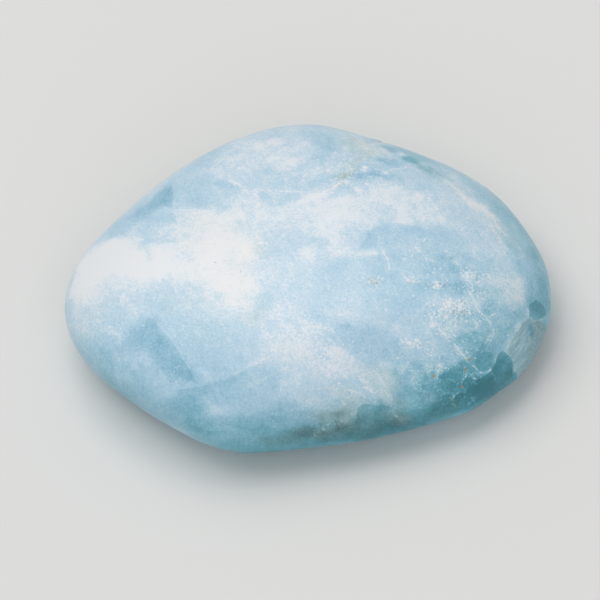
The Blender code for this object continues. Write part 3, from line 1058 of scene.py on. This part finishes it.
class View:
    """The camera's view of the solid, which carries seen marks onto it."""

    def __init__(self, mesh):
        self.tree = surface_tree(mesh)
        self.level, self.upright, self.back = (np.array(axis) for axis in camera_axes())
        self.eye = np.array(VIEW_MIDDLE) + self.back * CAMERA_DISTANCE

    def hit(self, x, y):
        """The place that a pixel shows, and the skin's outward normal there."""
        middle = VIEW_WIDTH / 2
        ray = self.level * (x - middle) / VIEW_FOCUS - self.upright * (y - middle) / VIEW_FOCUS - self.back
        place, normal, _, _ = self.tree.ray_cast(Vector(self.eye * MM), Vector(ray).normalized())
        return (None, None) if place is None else (np.array(place) / MM, np.array(normal))

    def skin_place(self, x, y):
        """The place that a pixel shows, or the nearest pixel inward that meets the skin."""
        place, _ = self.hit(x, y)
        while place is None:
            x += (VIEW_WIDTH / 2 - x) * INWARD_SHARE
            y += (VIEW_WIDTH / 2 - y) * INWARD_SHARE
            place, _ = self.hit(x, y)
        return place

    def place(self, mark, digits=COARSE_DIGITS):
        """Where a seen point lies on the stone; one in millimetres stays as it is."""
        return tuple(mark) if len(mark) == 3 else kept(self.skin_place(*mark), digits)

    def places(self, marks):
        return np.array([self.place(mark) for mark in marks])

    def slope(self, x, y):
        """The mean normal of the skin round a pixel."""
        around = [self.hit(x + right, y + down)[1] for right in SLOPE_STEPS for down in SLOPE_STEPS]
        normal = np.mean([found for found in around if found is not None], axis=0)
        return normal / np.linalg.norm(normal)

    def zone(self, mark):
        """A seen zone as one in millimetres, laid flat on the skin."""
        if isinstance(mark, Zone):
            return mark
        normal = self.slope(mark.x, mark.y)
        turn = math.radians(mark.turn)
        ways = (
            self.level * math.cos(turn) + self.upright * math.sin(turn),
            self.upright * math.cos(turn) - self.level * math.sin(turn),
        )
        sides = []
        for way, reach in zip(ways, (mark.along, mark.across)):
            side = (way - self.back * (way @ normal) / (self.back @ normal)) * reach * PIXEL
            longest = LONGEST_STRETCH * reach * PIXEL
            sides.append(side * min(1.0, longest / np.linalg.norm(side)))
        axes, reaches, _ = np.linalg.svd(np.stack(sides, axis=1), full_matrices=False)
        long_way, (along, across) = axes[:, 0], reaches
        if normal[2] < STEEP_SKIN and abs(long_way[2]) > UPRIGHT:
            long_way, along, across = axes[:, 1], across, along
        long_way = long_way * (-1 if long_way[0] < 0 else 1)
        digits = COARSE_DIGITS if min(along, across) >= FINE_ZONE else FINE_DIGITS
        return Zone(
            *kept(self.skin_place(mark.x, mark.y), digits),
            round(float(along), digits),
            round(float(across), digits),
            round(math.degrees(math.atan2(long_way[1], long_way[0]))),
            mark.milk,
            mark.teal,
            mark.cream,
            mark.soft,
        )


view = View(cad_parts[NODE].data)


def smooth_copy(node):
    """A finer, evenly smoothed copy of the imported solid."""
    cage = bmesh.new()
    cage.from_mesh(node.data)
    bmesh.ops.remove_doubles(cage, verts=cage.verts, dist=MERGE_DISTANCE * MM)
    for edge in cage.edges:
        edge.smooth = True
    mesh = bpy.data.meshes.new("stone cage")
    cage.to_mesh(mesh)
    cage.free()
    for name in ("custom_normal", "sharp_edge", "sharp_face"):
        if name in mesh.attributes:
            mesh.attributes.remove(mesh.attributes[name])
    blank = bpy.data.objects.new("stone cage", mesh)
    bpy.context.scene.collection.objects.link(blank)
    smoothing = blank.modifiers.new("smoothing", "SUBSURF")
    smoothing.levels = SUBDIVISION_LEVELS
    smoothing.render_levels = SUBDIVISION_LEVELS
    depsgraph = bpy.context.evaluated_depsgraph_get()
    fine = bpy.data.meshes.new_from_object(blank.evaluated_get(depsgraph))
    bpy.data.objects.remove(blank)
    fine.materials.clear()
    fine.shade_smooth()
    return fine


def read_vectors(items, name):
    """A named vector of each item of a mesh, one row each."""
    flat = np.empty(len(items) * 3, dtype=np.float32)
    items.foreach_get(name, flat)
    return flat.reshape(-1, 3).astype(float)


def noise_at(points, scale):
    return np.array([noise.noise(Vector(place)) for place in points * scale])


def wandered(points, octaves):
    """The points pushed about by smooth noise, so that no edge is a plain curve."""
    moved = points.copy()
    for scale, reach in octaves:
        moved += reach * np.array([noise.noise_vector(Vector(place)) for place in points * scale])
    return moved


class Skin:
    """The stone's surface, which gives each mark the frame it lies in."""

    def __init__(self, mesh):
        self.tree = surface_tree(mesh)

    def normal(self, place):
        return np.array(self.tree.find_nearest(Vector(place) * MM)[1])

    def frame(self, place, turn):
        """Along, across and outward at a place, with along turned in plan."""
        outward = self.normal(place)
        along = np.array([math.cos(math.radians(turn)), math.sin(math.radians(turn)), 0.0])
        along[2] = -along @ outward / max(outward[2], LEAST_SLOPE)
        along -= outward * (along @ outward)
        along /= np.linalg.norm(along)
        return along, np.cross(outward, along), outward


def zone_share(zone, points, skin):
    """How much of a zone each point gets: 1 in its core, 0 outside."""
    along, across, outward = skin.frame((zone.x, zone.y, zone.z), zone.turn)
    offset = points - (zone.x, zone.y, zone.z)
    depth = max(ZONE_DEPTH, zone.along)
    level = (offset @ along / zone.along) ** 2 + (offset @ across / zone.across) ** 2
    reach = np.sqrt(level + (offset @ outward / depth) ** 2)
    return 1 - smooth_step(1 - zone.soft / 2, 1 + zone.soft / 2, reach)


def line_distance(corners, points, skin):
    """Signed distance to a line of points, plus on its left, and how far past its ends."""
    outward = skin.normal(corners.mean(axis=0))
    nearest = np.full(len(points), np.inf)
    side = np.zeros(len(points))
    beyond = np.zeros(len(points))
    last = len(corners) - 2
    for number, (start, end) in enumerate(zip(corners, corners[1:])):
        run = end - start
        share = (points - start) @ run / (run @ run)
        held = np.clip(share, 0, 1)
        gap = points - (start + held[:, None] * run)
        distance = np.linalg.norm(gap, axis=1)
        closer = distance < nearest
        nearest[closer] = distance[closer]
        side[closer] = (np.cross(run, gap) @ outward)[closer]
        past = np.abs(share - held) * np.linalg.norm(run)
        past = np.where((share < 0) & (number == 0) | (share > 1) & (number == last), past, 0.0)
        beyond[closer] = past[closer]
    return nearest * np.sign(side), beyond


def outline_distance(corners, points, skin):
    """Distance inside an outline, minus outside, for the skin it is drawn on."""
    middle = corners.mean(axis=0)
    along, across, outward = skin.frame(middle, 0)
    flat = np.stack([(points - middle) @ along, (points - middle) @ across], axis=1)
    drawn = np.stack([(corners - middle) @ along, (corners - middle) @ across], axis=1)
    inside = np.zeros(len(points), dtype=bool)
    nearest = np.full(len(points), np.inf)
    for start, end in zip(drawn, np.roll(drawn, -1, axis=0)):
        run = end - start
        share = np.clip((flat - start) @ run / (run @ run), 0, 1)
        nearest = np.minimum(nearest, np.linalg.norm(flat - start - share[:, None] * run, axis=1))
        if run[1]:
            spans = (start[1] > flat[:, 1]) != (end[1] > flat[:, 1])
            crossing = start[0] + (flat[:, 1] - start[1]) * run[0] / run[1]
            inside ^= spans & (flat[:, 0] < crossing)
    depth = np.abs((points - middle) @ outward)
    return np.where(depth < ZONE_DEPTH, np.where(inside, nearest, -nearest), -ZONE_DEPTH)


def cloud_and_painted_light_field(points, skin):
    """Milk, teal and cream of the stone, with some painted shade and glints; small zones wander less than
    large ones.
    """
    far, near = wandered(points, CLOUD_WANDER), wandered(points, CLOUD_WANDER[1:])
    field = np.zeros((len(points), 3))
    field[:, 0] = BODY_MILK
    for zone in map(view.zone, CLOUDS_AND_PAINTED_LIGHT):
        share = zone_share(zone, near if zone.along < SMALL_ZONE else far, skin)
        field += share[:, None] * (zone.milk, zone.teal, zone.cream)
    return field


def gap_between(corners, others):
    return np.linalg.norm(corners[:, None] - others, axis=2).min()


def crack_fields(points, skin):
    """Signed distances to the nearest cracks and painted glint lines, and their whiteness, in three sets.
    """
    offsets = np.full((len(points), CRACK_CHANNELS), CRACK_FAR)
    whites = np.zeros((len(points), CRACK_CHANNELS))
    members = [[] for _ in range(CRACK_CHANNELS)]
    for crack in CRACKS_AND_GLINTS:
        corners = view.places(crack.points)
        room = [min((gap_between(corners, other) for other in held), default=math.inf) for held in members]
        channel = room.index(max(room))
        members[channel].append(corners)
        distance, beyond = line_distance(corners, points, skin)
        closer = np.abs(distance) < np.abs(offsets[:, channel])
        white = crack.white * (1 - smooth_step(*CRACK_REACH, np.abs(distance)))
        white = white * (1 - smooth_step(*CRACK_END, beyond))
        offsets[closer, channel] = distance[closer]
        whites[closer, channel] = white[closer]
    return offsets, whites


def cleavage_field(points, skin):
    """Signed distance to the nearest cleavage line, with the milk and teal beyond it."""
    field = np.zeros((len(points), 3))
    nearest = np.full(len(points), np.inf)
    for plane in CLEAVAGES:
        distance, beyond = line_distance(view.places(plane.points), points, skin)
        share = 1 - smooth_step(0.0, plane.fade, np.abs(distance))
        share = share * (1 - smooth_step(*CLEAVAGE_END, beyond))
        closer = np.abs(distance) < nearest
        nearest[closer] = np.abs(distance)[closer]
        made = np.stack([distance, plane.milk * share, plane.teal * share], axis=1)
        field[closer] = made[closer]
    return field


def cell_field(points, skin):
    """Distance inside the nearest cell, how clear it is and how white its wall is."""
    field = np.full((len(points), 3), -1.0)
    for cell in CELLS:
        distance = outline_distance(view.places(cell.points), points, skin)
        inside = distance > field[:, 0]
        field[inside, 0] = distance[inside]
        field[inside, 1:] = (cell.clear, cell.wall)
    return field


def strongest(marks, points, skin):
    """The strongest of some zones at each point."""
    field = np.zeros(len(points))
    for zone in map(view.zone, marks):
        field = np.maximum(field, zone.milk * zone_share(zone, points, skin))
    return field


def skin_field(points, skin):
    """Glitter, network of fine cracks, and distance inside the chip."""
    chip = outline_distance(view.places(CHIP), points, skin)
    return np.stack([strongest(GLITTER, points, skin), strongest(NETWORK, points, skin), chip], axis=1)


def store(mesh, name, values):
    layer = mesh.attributes.new(name, "FLOAT_VECTOR", "POINT")
    layer.data.foreach_set("vector", values.astype(np.float32).ravel())


def scar_share(points):
    """How much of the step at the far rim each point gets."""
    run = np.array(SCAR_END - SCAR_START)
    length = np.linalg.norm(run)
    run /= length
    offset = points[:, :2] - SCAR_START
    along = offset @ run / length
    beside = offset[:, 0] * run[1] - offset[:, 1] * run[0]
    step = smooth_step(*SCAR_STEP, beside) * (1 - smooth_step(*SCAR_FADE, beside))
    return step * smooth_step(*SCAR_LEAD, along)


def relief(points, skin):
    """Height of the fine relief over the solid's skin at each point."""
    height = WAVE_HEIGHT * noise_at(points, WAVE_SCALE) + RIPPLE_HEIGHT * noise_at(points, RIPPLE_SCALE)
    chip = smooth_step(0.0, CHIP_EDGE, outline_distance(view.places(CHIP), points, skin))
    height -= chip * (CHIP_DEPTH + CHIP_GRAIN_HEIGHT * noise_at(points, CHIP_GRAIN_SCALE))
    height -= SCAR_DEPTH * scar_share(points)
    for swell in SWELLS:
        distance = np.linalg.norm(points - view.place(swell.place), axis=1)
        height += swell.height * (1 - smooth_step(0.0, swell.reach, distance))
    return height * smooth_step(*REST_BAND, points[:, 2])


def make_stone():
    """The pebble: its fine relief, and all that lies in it stored on its corners."""
    noise.seed_set(CHANCE_SEED)
    mesh = smooth_copy(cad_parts[NODE])
    mesh.name = "aquamarine_pebble"
    skin = Skin(mesh)
    points = read_vectors(mesh.vertices, "co") / MM
    line_points = wandered(points, LINE_WANDER)
    store(mesh, "clouding and painted light", cloud_and_painted_light_field(points, skin))
    offsets, whites = crack_fields(line_points, skin)
    store(mesh, "crack offset", offsets)
    store(mesh, "crack whiteness", whites)
    store(mesh, "cleavage", cleavage_field(line_points, skin))
    store(mesh, "cells", cell_field(line_points, skin))
    store(mesh, "skin", skin_field(line_points, skin))
    normals = read_vectors(mesh.vertex_normals, "vector")
    moved = points + normals * relief(line_points, skin)[:, None]
    mesh.vertices.foreach_set("co", (moved * MM).astype(np.float32).ravel())
    mesh.update()
    stone = bpy.data.objects.new("aquamarine_pebble", mesh)
    bpy.context.scene.collection.objects.link(stone)
    return stone


# -------------------------------------------------------- the stone's material


def add(tree, kind, inputs=None, **settings):
    """Add a node with its settings, and set or link its inputs by name or number."""
    made = tree.nodes.new(kind)
    for name, value in settings.items():
        setattr(made, name, value)
    for key, value in (inputs or {}).items():
        if isinstance(value, bpy.types.NodeSocket):
            tree.links.new(value, made.inputs[key])
        else:
            made.inputs[key].default_value = value
    return made


def math_node(tree, operation, *values, clamp=False):
    made = add(tree, "ShaderNodeMath", dict(enumerate(values)), operation=operation, use_clamp=clamp)
    return made.outputs[0]


def product(tree, *values):
    total = values[0]
    for value in values[1:]:
        total = math_node(tree, "MULTIPLY", total, value)
    return total


def plus(tree, value, share, amount, **settings):
    """A value with a share of an amount added."""
    return math_node(tree, "MULTIPLY_ADD", share, amount, value, **settings)


def centred(tree, value, amount, onto):
    """Add a texture, centred on nothing, onto a value."""
    return plus(tree, onto, math_node(tree, "SUBTRACT", value, 0.5), amount)


def vector_node(tree, operation, *values):
    made = add(tree, "ShaderNodeVectorMath", dict(enumerate(values)), operation=operation)
    return made.outputs["Value" if operation in ("DISTANCE", "DOT_PRODUCT") else "Vector"]


def scaled(tree, vector, amount):
    return add(tree, "ShaderNodeVectorMath", {0: vector, "Scale": amount}, operation="SCALE").outputs[0]


def fade(tree, value, span):
    """Smoothly from low at the span's start to high at its end."""
    made = add(tree, "ShaderNodeMapRange", {"Value": value}, interpolation_type="SMOOTHSTEP")
    for name, bound in zip(("From Min", "From Max", "To Min", "To Max"), span):
        made.inputs[name].default_value = bound
    return made.outputs["Result"]


def noise_node(tree, point, kind, output="Fac"):
    inputs = {"Vector": point, "Scale": kind.scale, "Detail": kind.detail, "Roughness": kind.roughness}
    return add(tree, "ShaderNodeTexNoise", inputs, noise_dimensions="3D").outputs[output]


def cell_node(tree, point, scale, feature="F1"):
    return add(tree, "ShaderNodeTexVoronoi", {"Vector": point, "Scale": scale}, feature=feature).outputs


def picks(tree, cells):
    """Three chance values from 0 to 1 for each cell."""
    return add(tree, "ShaderNodeSeparateColor", {0: cells["Color"]}).outputs


def chosen(tree, pick, share):
    """One in the cells that belong to the chosen share, else zero."""
    return math_node(tree, "LESS_THAN", pick, share)


def share_of(tree, glitter, rise_and_start):
    """A share of cells that rises with the glitter from a start."""
    rise, start = rise_and_start
    return plus(tree, start, glitter, rise)


def streaked(tree, point, turn, stretch):
    """The point turned in plan and scaled, so that textures run along the turn."""
    inputs = {"Vector": point, "Angle": -math.radians(turn)}
    turned = add(tree, "ShaderNodeVectorRotate", inputs, rotation_type="Z_AXIS")
    return vector_node(tree, "MULTIPLY", turned.outputs["Vector"], stretch)


def stored(tree, name):
    """The three stored values of a name, apart."""
    layer = add(tree, "ShaderNodeAttribute", attribute_type="GEOMETRY", attribute_name=name)
    return add(tree, "ShaderNodeSeparateXYZ", {"Vector": layer.outputs["Vector"]}).outputs


def color_ramp(tree, value, stops):
    made = add(tree, "ShaderNodeValToRGB", {"Fac": value})
    elements = made.color_ramp.elements
    while len(elements) < len(stops):
        elements.new(0.5)
    for element, (place, _) in zip(elements, stops):
        element.position = place
    for element, (_, shade) in zip(elements, stops):
        element.color = tone(shade)
    return made.outputs["Color"]


def mix_color(tree, share, under, over):
    made = add(tree, "ShaderNodeMix", {0: share, 6: under, 7: over}, data_type="RGBA")
    return made.outputs[2]


def spots(tree, point, grains):
    """Mask of small round spots, each with its own strength."""
    mask = 0.0
    for grain in grains:
        distance = vector_node(tree, "DISTANCE", point, view.place(grain.place, FINE_DIGITS))
        spot = Span(SPOT_CORE * grain.radius, SPOT_RIM * grain.radius, grain.strength, 0.0)
        mask = math_node(tree, "MAXIMUM", fade(tree, distance, spot), mask)
    return mask


class Textures:
    """The point in millimetres, and the noises that several marks share."""

    def __init__(self, tree):
        place = add(tree, "ShaderNodeTexCoord").outputs["Object"]
        self.point = scaled(tree, place, 1 / MM)
        stir = noise_node(tree, self.point, STIR, "Color")
        stir = vector_node(tree, "SUBTRACT", stir, (0.5, 0.5, 0.5))
        self.line_point = vector_node(tree, "MULTIPLY_ADD", stir, LINE_STIR, self.point)
        self.web_point = vector_node(tree, "MULTIPLY_ADD", stir, WEB_STIR, self.point)
        self.wobble = centred(tree, noise_node(tree, self.point, WOBBLE), WOBBLE_REACH, 0.0)
        self.grit = noise_node(tree, self.point, GRIT)
        self.tufts = noise_node(tree, self.line_point, TUFTS)
        patches = fade(tree, noise_node(tree, self.point, PATCHES), PATCHY)
        self.grain = product(tree, patches, fade(tree, self.grit, GRITTY))
        self.crumb = picks(tree, cell_node(tree, self.point, CRUMB_SCALE))
        skin = stored(tree, "skin")
        self.glitter, self.network = skin["X"], skin["Y"]
        edge = plus(tree, skin["Z"], self.wobble, CHIP_WOBBLE)
        self.chip = fade(tree, edge, CHIP_SPAN)


def add_cleavage(tree, textures, milk, teal):
    """Crisp tones beyond cleavage lines."""
    cleavage = stored(tree, "cleavage")
    edge = plus(tree, cleavage["X"], textures.wobble, CLEAVAGE_WOBBLE)
    beyond = fade(tree, edge, CLEAVAGE_SPAN)
    return plus(tree, milk, beyond, cleavage["Y"]), plus(tree, teal, beyond, cleavage["Z"])


def add_cells(tree, textures, milk, teal):
    """Clear teal inside cells, and their grainy white walls."""
    cells = stored(tree, "cells")
    depth = math_node(tree, "ADD", cells["X"], textures.wobble)
    clear = product(tree, fade(tree, depth, CELL_SPAN), cells["Y"])
    milk = plus(tree, milk, clear, CELL_CLEAR_MILK)
    teal = math_node(tree, "ADD", clear, teal)
    wall = fade(tree, math_node(tree, "ABSOLUTE", depth), CELL_WALL)
    wall = product(tree, wall, cells["Z"])
    return plus(tree, milk, wall, textures.grain), teal


def add_cracks_and_glints(tree, textures, milk):
    """White of the healed cracks and of a few painted glints: thin, wavering and grainy, with a faint glow.
    """
    offsets = stored(tree, "crack offset")
    whites = stored(tree, "crack whiteness")
    total = 0.0
    for axis in "XYZ":
        distance = math_node(tree, "ADD", offsets[axis], textures.wobble)
        distance = math_node(tree, "ABSOLUTE", distance)
        glow = product(tree, fade(tree, distance, CRACK_GLOW), CRACK_GLOW_SHARE)
        line = plus(tree, glow, fade(tree, distance, CRACK_LINE), textures.grain)
        total = plus(tree, total, line, whites[axis])
    return math_node(tree, "ADD", milk, total)


def add_drift(tree, textures, milk):
    """Drifting milk at four sizes, down to a fine sugary grain."""
    milk = centred(tree, noise_node(tree, textures.line_point, DRIFT), DRIFT_MILK, milk)
    milk = centred(tree, textures.tufts, TUFT_MILK, milk)
    growth = streaked(tree, textures.line_point, GROWTH_TURN, GROWTH_STRETCH)
    milk = centred(tree, noise_node(tree, growth, GROWTH), GROWTH_MILK, milk)
    lively = plus(tree, GRIT_MILK, textures.glitter, GLITTER_GRIT_MILK)
    return centred(tree, textures.grit, lively, milk)


def add_veils(tree, textures, milk):
    """Fine veils: lines where a slow drift crosses its middle, seen in places."""
    veil = noise_node(tree, textures.line_point, VEIL)
    veil = math_node(tree, "ABSOLUTE", math_node(tree, "SUBTRACT", veil, 0.5))
    seen = fade(tree, noise_node(tree, textures.point, VEIL_PATCHES), VEIL_SHARE)
    veil = product(tree, fade(tree, veil, VEIL_LINE), seen, textures.grain)
    return math_node(tree, "ADD", milk, veil)


def add_thin_edge_and_shade(tree, textures, milk, teal):
    """Teal gathers toward the thin lower edge all round, with painted shade darkening the lower rim."""
    height = add(tree, "ShaderNodeSeparateXYZ", {"Vector": textures.line_point}).outputs["Z"]
    edge = fade(tree, height, EDGE_HEIGHT)
    return plus(tree, milk, edge, EDGE_SHADE_MILK), plus(tree, teal, edge, EDGE_TEAL_AND_SHADE)


def add_network(tree, textures, milk):
    """Small cells with white walls fill the clear corner."""
    gap = cell_node(tree, textures.web_point, WEB_SCALE, "DISTANCE_TO_EDGE")["Distance"]
    shade = picks(tree, cell_node(tree, textures.web_point, WEB_SCALE))[0]
    shade = product(tree, math_node(tree, "SUBTRACT", shade, 0.5), textures.network)
    milk = plus(tree, milk, shade, WEB_MILK)
    wall = product(tree, fade(tree, gap, WEB_WALL), textures.network, textures.grain)
    return plus(tree, milk, wall, WEB_WALL_MILK)


def add_breaks_and_glints(tree, textures, milk):
    """Sugary breaks in the skin: tilted grains, white sparks that are partly painted glints, and short
    dashes.
    """
    crumb, glitter = textures.crumb, textures.glitter
    milk = centred(tree, crumb[0], product(tree, glitter, CRUMB_MILK), milk)
    # White sparks, partly painted glints.
    spark_and_glint = chosen(tree, crumb[1], share_of(tree, glitter, SPARK_AND_GLINT_SHARE))
    milk = plus(tree, milk, spark_and_glint, SPARK_AND_GLINT_MILK)
    dash = cell_node(tree, streaked(tree, textures.point, DASH_TURN, DASH_STRETCH), DASH_SCALE)
    picked = chosen(tree, picks(tree, dash)[0], share_of(tree, glitter, DASH_SHARE))
    return plus(tree, milk, product(tree, fade(tree, dash["Distance"], DASH_SPOT), picked), DASH_MILK)


def add_flecks_and_glints(tree, textures, milk):
    """Pin-prick flecks, white and few, partly white specks and partly painted glints."""
    fleck = cell_node(tree, textures.point, FLECK_SCALE)
    picked = chosen(tree, picks(tree, fleck)[1], FLECK_SHARE)
    return plus(tree, milk, product(tree, fade(tree, fleck["Distance"], FLECK_SPOT), picked), FLECK_AND_GLINT_MILK)


def stone_color(tree, milk, teal, cream):
    """The tone of the milk in three families, mixed by teal and then by cream."""
    milk = math_node(tree, "SMOOTH_MIN", milk, FULL_MILK, FULL_MILK_SOFTNESS)
    teal_share = math_node(tree, "ADD", teal, 0.0, clamp=True)
    cream_share = math_node(tree, "ADD", cream, 0.0, clamp=True)
    blue, teal, cream = (color_ramp(tree, milk, stops) for stops in (BLUE_STOPS, TEAL_STOPS, CREAM_STOPS))
    return mix_color(tree, cream_share, mix_color(tree, teal_share, blue, teal), cream)


def add_pits(tree, textures, color):
    """Grey pits, some of them in the glitter."""
    pit = chosen(tree, textures.crumb[2], share_of(tree, textures.glitter, PIT_SHARE))
    pit = product(tree, pit, PIT_DEPTH)
    pit = math_node(tree, "MAXIMUM", pit, spots(tree, textures.line_point, PITS))
    return mix_color(tree, pit, color, tone(PIT_TONE))


def add_chip(tree, textures, color):
    """The chipped patch is bare: fibrous toward the crown, matte and stained below."""
    grit, line_point = textures.grit, textures.line_point
    fibre = noise_node(tree, streaked(tree, line_point, FIBRE_TURN, FIBRE_STRETCH), FIBRES)
    bare = mix_color(tree, fade(tree, fibre, FIBRE_SPAN), tone(CHIP_TONE), tone(FIBRE_TONE))
    low = plus(tree, vector_node(tree, "DOT_PRODUCT", line_point, STAIN_WAY), textures.wobble, STAIN_WOBBLE)
    stain = mix_color(tree, fade(tree, grit, STAIN_GRIT), tone(STAIN_TONE), tone(STAIN_PALE_TONE))
    dot = product(tree, chosen(tree, textures.crumb[1], STAIN_DOT_SHARE), STAIN_DOT_DEPTH)
    stain = mix_color(tree, dot, stain, tone(RUST_TONE))
    bare = mix_color(tree, fade(tree, low, STAIN_SPAN), bare, stain)
    lens = product(tree, spots(tree, line_point, LENSES), LENS_DEPTH)
    bare = mix_color(tree, lens, bare, tone(LENS_TONE))
    return mix_color(tree, product(tree, textures.chip, CHIP_TONE_DEPTH), color, bare)


def add_rust(tree, textures, color):
    rust = spots(tree, textures.line_point, RUST_GRAINS)
    rust = product(tree, rust, fade(tree, textures.grit, RUST_GRIT))
    return mix_color(tree, rust, color, tone(RUST_TONE))


def make_stone_material():
    material = bpy.data.materials.new("milky aquamarine")
    material.use_nodes = True
    tree = material.node_tree
    tree.nodes.clear()
    textures = Textures(tree)
    glitter, chip = textures.glitter, textures.chip

    body = stored(tree, "clouding and painted light")
    milk, teal = add_cleavage(tree, textures, body["X"], body["Y"])
    milk, teal = add_cells(tree, textures, milk, teal)
    milk = add_cracks_and_glints(tree, textures, milk)
    milk = add_drift(tree, textures, milk)
    milk = add_veils(tree, textures, milk)
    # Painted shade: darker and tealer toward the lower rim.
    milk, teal = add_thin_edge_and_shade(tree, textures, milk, teal)
    milk = add_network(tree, textures, milk)
    milk = add_breaks_and_glints(tree, textures, milk)
    milk = add_flecks_and_glints(tree, textures, milk)

    color = stone_color(tree, milk, teal, body["Z"])
    color = add_pits(tree, textures, color)
    color = add_chip(tree, textures, color)
    color = add_rust(tree, textures, color)

    rough = centred(tree, textures.tufts, TUFT_ROUGHNESS, ROUGHNESS)
    rough = plus(tree, rough, glitter, GLITTER_ROUGHNESS)
    rough = plus(tree, rough, chip, CHIP_ROUGHNESS, clamp=True)
    wear = plus(tree, plus(tree, SKIN_WEAR, glitter, GLITTER_WEAR), chip, CHIP_WEAR)
    height = product(tree, textures.grit, wear)
    bump = add(tree, "ShaderNodeBump", {"Strength": 1.0, "Distance": WEAR_HEIGHT * MM, "Height": height})
    inputs = {
        "Base Color": color,
        "Roughness": rough,
        "IOR": AQUAMARINE_IOR,
        "Normal": bump.outputs["Normal"],
        "Subsurface Weight": SCATTER_WEIGHT,
        "Subsurface Scale": SCATTER_REACH * MM,
        "Subsurface Radius": SCATTER_RADII,
    }
    shader = add(tree, "ShaderNodeBsdfPrincipled", inputs)
    add(tree, "ShaderNodeOutputMaterial", {"Surface": shader.outputs[0]})
    return material


# --------------------------------------------------------------- the stage


def make_floor():
    bpy.ops.mesh.primitive_plane_add(size=FLOOR_SIZE * MM, location=(0, 0, -FLOOR_GAP * MM))
    floor = bpy.context.object
    floor.name = "floor"
    material = bpy.data.materials.new("pale floor")
    material.use_nodes = True
    shader = material.node_tree.nodes["Principled BSDF"]
    shader.inputs["Base Color"].default_value = tone(FLOOR_TONE)
    shader.inputs["Roughness"].default_value = FLOOR_ROUGHNESS
    floor.data.materials.append(material)


def make_lamps():
    for lamp in LAMPS:
        light = bpy.data.lights.new(lamp.name, "AREA")
        light.shape = "SQUARE"
        light.size = lamp.width * MM
        light.energy = lamp.watts
        light.color = tone(lamp.tone)[:3]
        way = direction(lamp.azimuth, lamp.elevation)
        holder = bpy.data.objects.new(lamp.name, light)
        holder.location = (AIM_POINT + way * lamp.distance) * MM
        holder.rotation_euler = way.to_track_quat("Z", "Y").to_euler()
        bpy.context.scene.collection.objects.link(holder)


def make_world():
    world = bpy.data.worlds.new("studio")
    world.use_nodes = True
    background = world.node_tree.nodes["Background"]
    background.inputs["Color"].default_value = tone(WORLD_TONE)
    background.inputs["Strength"].default_value = WORLD_STRENGTH
    bpy.context.scene.world = world


def make_camera():
    """Look down on the stone from the front right, with the camera rolled."""
    level, upright, back = camera_axes()
    data = bpy.data.cameras.new("camera")
    data.lens = CAMERA_LENS
    data.sensor_width = CAMERA_SENSOR
    data.clip_start = CAMERA_NEAREST * MM
    camera = bpy.data.objects.new("camera", data)
    turn = Matrix((level, upright, back)).transposed()
    camera.matrix_world = Matrix.LocRotScale((AIM_POINT + back * CAMERA_DISTANCE) * MM, turn, None)
    bpy.context.scene.collection.objects.link(camera)
    bpy.context.scene.camera = camera


stone = make_stone()
stone.data.materials.append(make_stone_material())
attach(stone, "root")
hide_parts(NODE)
make_floor()
make_lamps()
make_world()
make_camera()
bpy.context.scene.view_settings.view_transform = "Standard"
